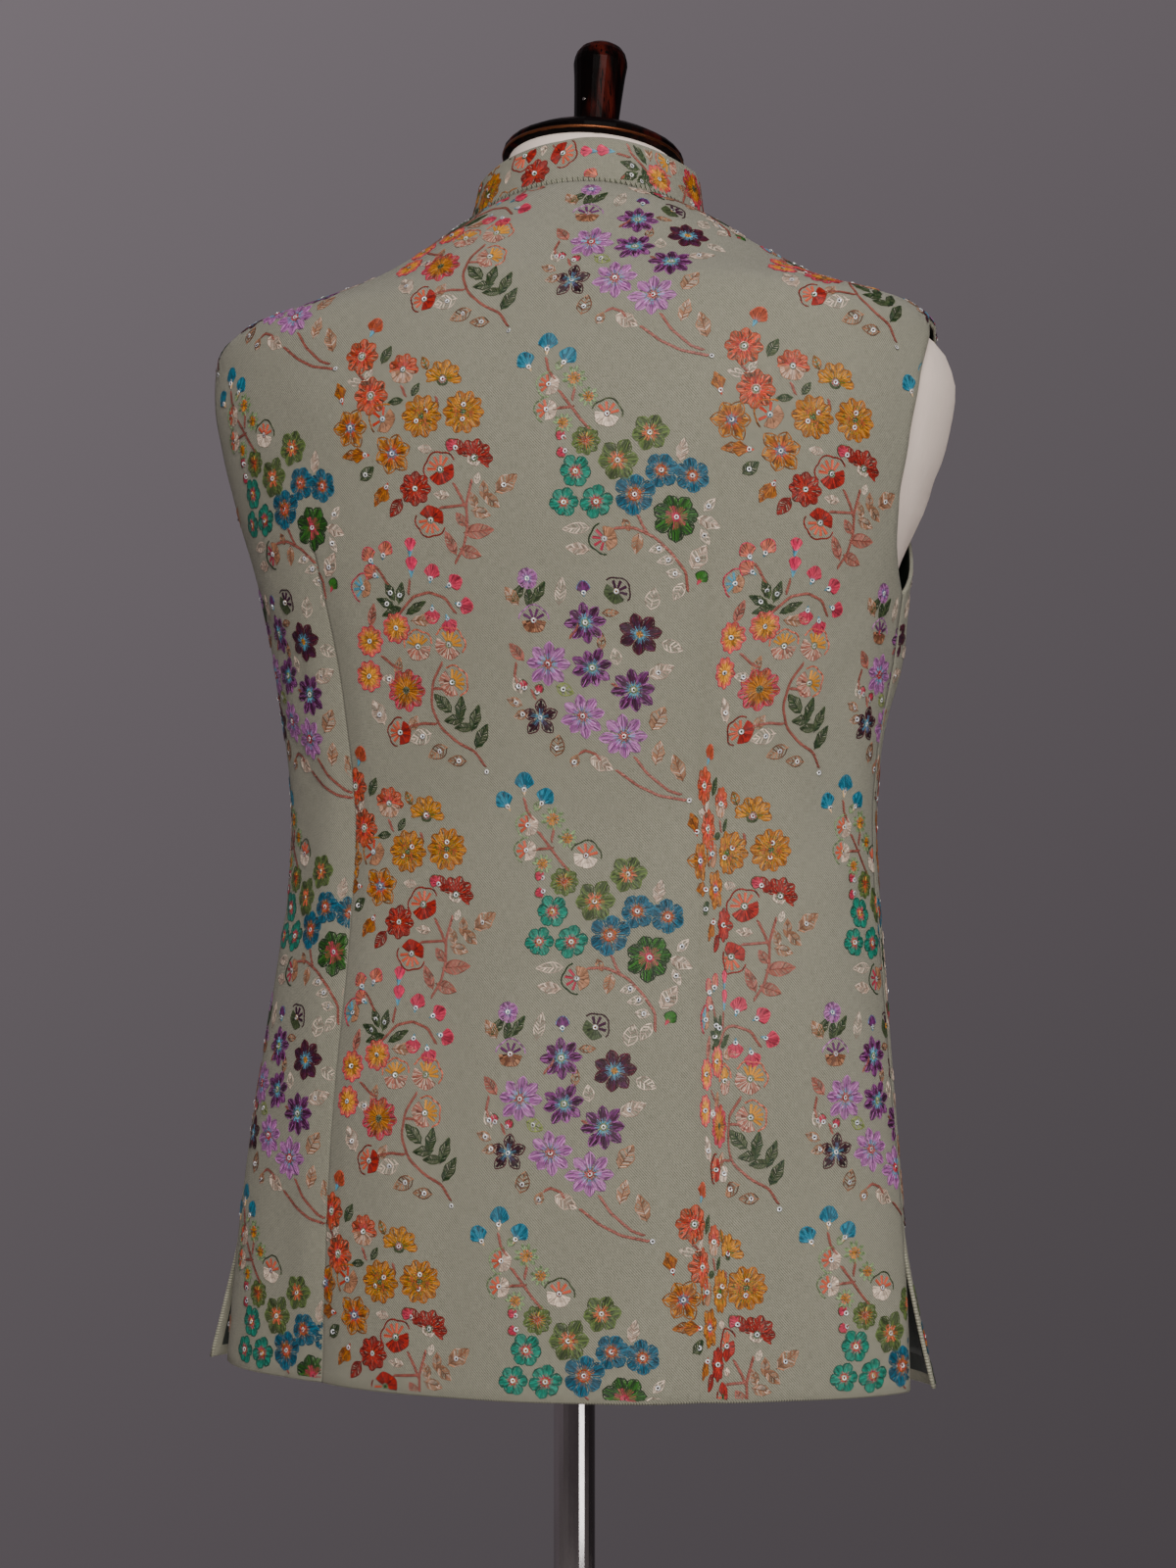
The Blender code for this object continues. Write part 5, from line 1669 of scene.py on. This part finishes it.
def addForm():
    z = evenRows(formShape["rowStep"], low=formShape["bottomZ"])
    count = formShape["columns"]
    turn = np.arange(count) / count
    s = 2 * body.length(z)[:, None] * turn[None]
    s = np.where(turn[None] <= 0.5, s, s - 2 * body.length(z)[:, None])
    zGrid = np.repeat(z[:, None], count, axis=1)
    underLap = (panelCut["wall"] + panelCut["lapClear"] + panelCut["gap"]) * smoothStep(
        *formShape["lapEase"], np.abs(s) - body.length(zGrid))
    ease = np.interp(zGrid, body.z, body.easeAt)
    rings, normal = body.place(zGrid, s, -(ease + underLap))
    beyond = np.abs(rings[..., 0]) - formShape["plateX"]
    rolled = np.exp(-((beyond / formShape["plateRoll"]) ** 2))
    plate = formShape["plateStep"] * (smoothStep(*formShape["plateEdge"], beyond) + rolled)
    rings = rings - normal * plate[..., None]
    rings[0, :, 2] = formShape["bottomZ"]
    tilt = np.array([0.0, -math.sin(formShape["capTilt"]), math.cos(formShape["capTilt"])])
    centre = np.array(formShape["capCentre"]) - tilt * panelCut["gap"]
    across, back = np.array([1.0, 0.0, 0.0]), -np.cross([1.0, 0.0, 0.0], tilt)
    angle = 2 * math.pi * turn
    around = np.outer(np.sin(angle), across) + np.outer(np.cos(angle), back)
    top = centre + formShape["neckRadius"] * around
    neck = []
    for share in np.linspace(0, 1, formShape["neckRings"] + 1)[1:]:
        drawnIn = np.interp(share, (0, 0.35, 0.7, 1), (0, 0.35**0.75, 0.7**0.75, 1))
        neck.append(rings[-1] + (top - rings[-1]) * np.array([drawnIn, drawnIn, share]))
    allRings = np.concatenate([rings, np.array(neck)])
    around = np.concatenate([s, np.repeat(s[-1:], len(neck), axis=0)])
    inward = unit(np.array(formShape["axis"]) - allRings * [1, 1, 0])
    for seam in formShape["seams"]:
        sunk = formShape["seamDepth"] * np.exp(-(((around - seam) / formShape["seamWidth"]) ** 2))
        allRings = allRings + inward * sunk[..., None]
    points = allRings.reshape(-1, 3)
    grid = np.arange(len(points)).reshape(len(allRings), count)
    after = np.roll(grid, -1, axis=1)
    faces = np.stack([after[:-1], grid[:-1], grid[1:], after[1:]], axis=-1).reshape(-1, 4)
    first, second, third = (points[faces[:, k]] for k in range(3))
    if np.einsum("ij,ij->i", first, np.cross(second, third)).sum() < 0:
        faces = faces[:, ::-1]
    made = quickMesh("linenForm", points, faces, [finishes["linen"]])
    up = np.cumsum(np.concatenate([[0], np.linalg.norm(np.diff(allRings[:, 0], axis=0), axis=1)]))
    uv = np.stack([around, np.repeat(up[:, None], count, axis=1)], axis=2).reshape(-1, 2)[faces]
    turned = uv[:, :, 0].max(axis=1) - uv[:, :, 0].min(axis=1) > 0.3
    whole = uv[..., 0] + 2 * body.lengthAt.max()
    uv[..., 0] = np.where(turned[:, None] & (uv[..., 0] < 0), whole, uv[..., 0])
    giveUv(made, "linenUV", uv.reshape(-1, 2))
    closeEnds(made, points, (grid[0], grid[-1]))
    onPart(made, "linen", "form_torso")


standFinishes = (("neck_cap", "wood"), ("finial", "wood"), ("cap_washer", "steel"), ("pole", "chrome"),
                 ("base", "paint"))
standDetails = {
    "beadHeight": 0.0024,
    "beadRadius": 0.0532,
    "beadThick": 0.0010,
    "pinHeight": 0.0372,
    "pinTurn": math.radians(35.0),  # round the finial from the camera's side towards the wearer's left
    "pinRadius": 0.0011,
    "pinStands": 0.0007,
    "finialRadius": 0.0136,
    "rounding": 0.0006,  # of the carried solids' sharp edges
}


def closeEnds(made, points, ends):
    # A fan of flat faces over each open end of a tube.
    mesh = bmesh.new()
    mesh.from_mesh(made.data)
    middles = [mesh.verts.new(points[ring].mean(axis=0)) for ring in ends]
    mesh.verts.ensure_lookup_table()
    for ring, middle in zip(ends, middles):
        for first, second in zip(ring, np.roll(ring, -1)):
            mesh.faces.new((mesh.verts[first], mesh.verts[second], middle)).smooth = False
    bmesh.ops.recalc_face_normals(mesh, faces=mesh.faces)
    mesh.to_mesh(made.data)
    mesh.free()


def finishSolids():
    # The carried solids get their finishes and rounded edges.
    for node, finish in standFinishes:
        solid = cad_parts[node]
        solid.data.materials.clear()
        solid.data.materials.append(finishes[finish])
        rounded = solid.modifiers.new("rounded", "BEVEL")
        rounded.width, rounded.segments, rounded.limit_method = standDetails["rounding"], 2, "ANGLE"
        rounded.angle_limit = math.radians(28)


def addBeadAndPin():
    turn = Matrix.Rotation(formShape["capTilt"], 4, "X")
    axis, centre = turn @ Vector((0, 0, 1)), Vector(formShape["capCentre"])
    bpy.ops.mesh.primitive_torus_add(
        major_segments=96, minor_segments=12, major_radius=standDetails["beadRadius"] - 0.0006,
        minor_radius=standDetails["beadThick"], location=centre + axis * standDetails["beadHeight"],
        rotation=(formShape["capTilt"], 0, 0))
    bead = bpy.context.active_object
    bead.name = "capBead"
    bpy.ops.object.transform_apply()
    bead.data.materials.append(finishes["bead"])
    bpy.ops.object.shade_smooth()
    onPart(bead, "dark_wood")
    facing = math.radians(90) + studio["azimuth"] - standDetails["pinTurn"]
    outward = turn @ Vector((math.cos(facing), math.sin(facing), 0))
    reach = standDetails["finialRadius"] + standDetails["pinStands"] - 0.002
    middle = centre + axis * standDetails["pinHeight"] + outward * reach
    aim = outward.to_track_quat("Z", "Y").to_euler()
    bpy.ops.mesh.primitive_cylinder_add(vertices=24, radius=standDetails["pinRadius"], depth=0.004,
                                        location=middle, rotation=aim)
    pin = bpy.context.active_object
    pin.name = "finialPin"
    bpy.ops.object.transform_apply()
    applied(pin, "BEVEL", width=0.00035, segments=3, limit_method="ANGLE")
    pin.data.materials.append(finishes["steel"])
    onPart(pin, "steel")


studio = {
    "floorRadius": 4.4,
    "floorMiddle": (-0.6, 2.0),
    "backdrop": (0.1175, 0.1020, 0.1120),
    "backdropFall": (0.163, 0.328),  # darker to the right, lighter upwards, across the view
    "lights": (  # name, place, size, watts, colour
        ("keyLight", (-1.0, 2.5, 2.4), 1.1, 102, (1.0, 0.975, 0.93)),
        ("frontLight", (0.7, -2.6, 2.3), 1.5, 52, (1.0, 0.98, 0.95)),
        ("rightLight", (-2.3, 0.7, 1.9), 0.8, 6, (1.0, 0.97, 0.95)),
        ("lowLight", (0.9, 2.6, 0.30), 0.22, 1.3, (1.0, 0.99, 0.98)),
        ("lowSideLight", (-2.4, 1.4, 0.30), 0.22, 1.5, (1.0, 0.99, 0.98)),
    ),
    "viewHalf": (0.15, 0.205),  # half the view across and up, as a direction
    "fallLimits": (-0.8, 0.7),
    "aim": (0.0, 0.0, 1.2),
    "eye": 1.176,
    "distance": 2.2,
    "azimuth": math.radians(16.5),
    "lens": 87.6,
    "shift": 0.00875,
}


def floorMaterial():
    made, w, shader = newMaterial("paleFloor", 0.7)
    place = w.objectPlace()
    slow = w.uneven(place, 1.4)
    w.join(w.mix(slow["Mask"], (0.50, 0.485, 0.475), (0.57, 0.555, 0.545)), shader["Base Color"])
    w.join(bump(w, slow["Fine"], 0.1, 0.001), shader["Normal"])
    return made


def setStudio():
    bpy.ops.mesh.primitive_circle_add(vertices=96, radius=studio["floorRadius"], fill_type="NGON",
                                      location=(*studio["floorMiddle"], 0))
    floor = bpy.context.active_object
    bpy.ops.object.transform_apply()
    floor.name = "floor"
    floor.data.materials.append(floorMaterial())
    turn, far = studio["azimuth"], studio["distance"]
    world = bpy.data.worlds.new("studioWorld")
    world.use_nodes = True
    w = Wires(world.node_tree)
    across, up = studio["backdropFall"]
    wide, high = studio["viewHalf"]
    slope = Vector((math.cos(turn), math.sin(turn), 0)) * across / wide + Vector((0, 0, up / high))
    direction = w.add("ShaderNodeTexCoord").outputs["Generated"]
    fall = w.add("ShaderNodeVectorMath", {0: direction, 1: slope}, operation="DOT_PRODUCT").outputs["Value"]
    darkest, lightest = studio["fallLimits"]
    level = w.math("EXPONENT", w.math("MAXIMUM", w.math("MINIMUM", fall, lightest), darkest))
    background = world.node_tree.nodes["Background"]
    background.inputs["Color"].default_value = (*studio["backdrop"], 1)
    w.join(level, background.inputs["Strength"])
    bpy.context.scene.world = world
    for name, place, size, watts, colour in studio["lights"]:
        lamp = bpy.data.lights.new(name, "AREA")
        lamp.size, lamp.energy, lamp.color = size, watts, colour
        made = bpy.data.objects.new(name, lamp)
        made.location = place
        made.rotation_euler = (Vector(studio["aim"]) - Vector(place)).to_track_quat("-Z", "Y").to_euler()
        made.visible_glossy = name != "frontLight"  # else it rims the wood
        bpy.context.scene.collection.objects.link(made)
    camera = bpy.data.objects.new("camera", bpy.data.cameras.new("camera"))
    camera.location = (-far * math.sin(turn), far * math.cos(turn), studio["eye"])
    camera.rotation_euler = (math.radians(90), 0, math.radians(180) + turn)
    camera.data.lens, camera.data.sensor_width = studio["lens"], 36
    camera.data.shift_x = studio["shift"]
    bpy.context.scene.collection.objects.link(camera)
    bpy.context.scene.camera = camera


addForm()
finishSolids()
addBeadAndPin()
print("dress form and stand done")
setStudio()
print("studio lit")
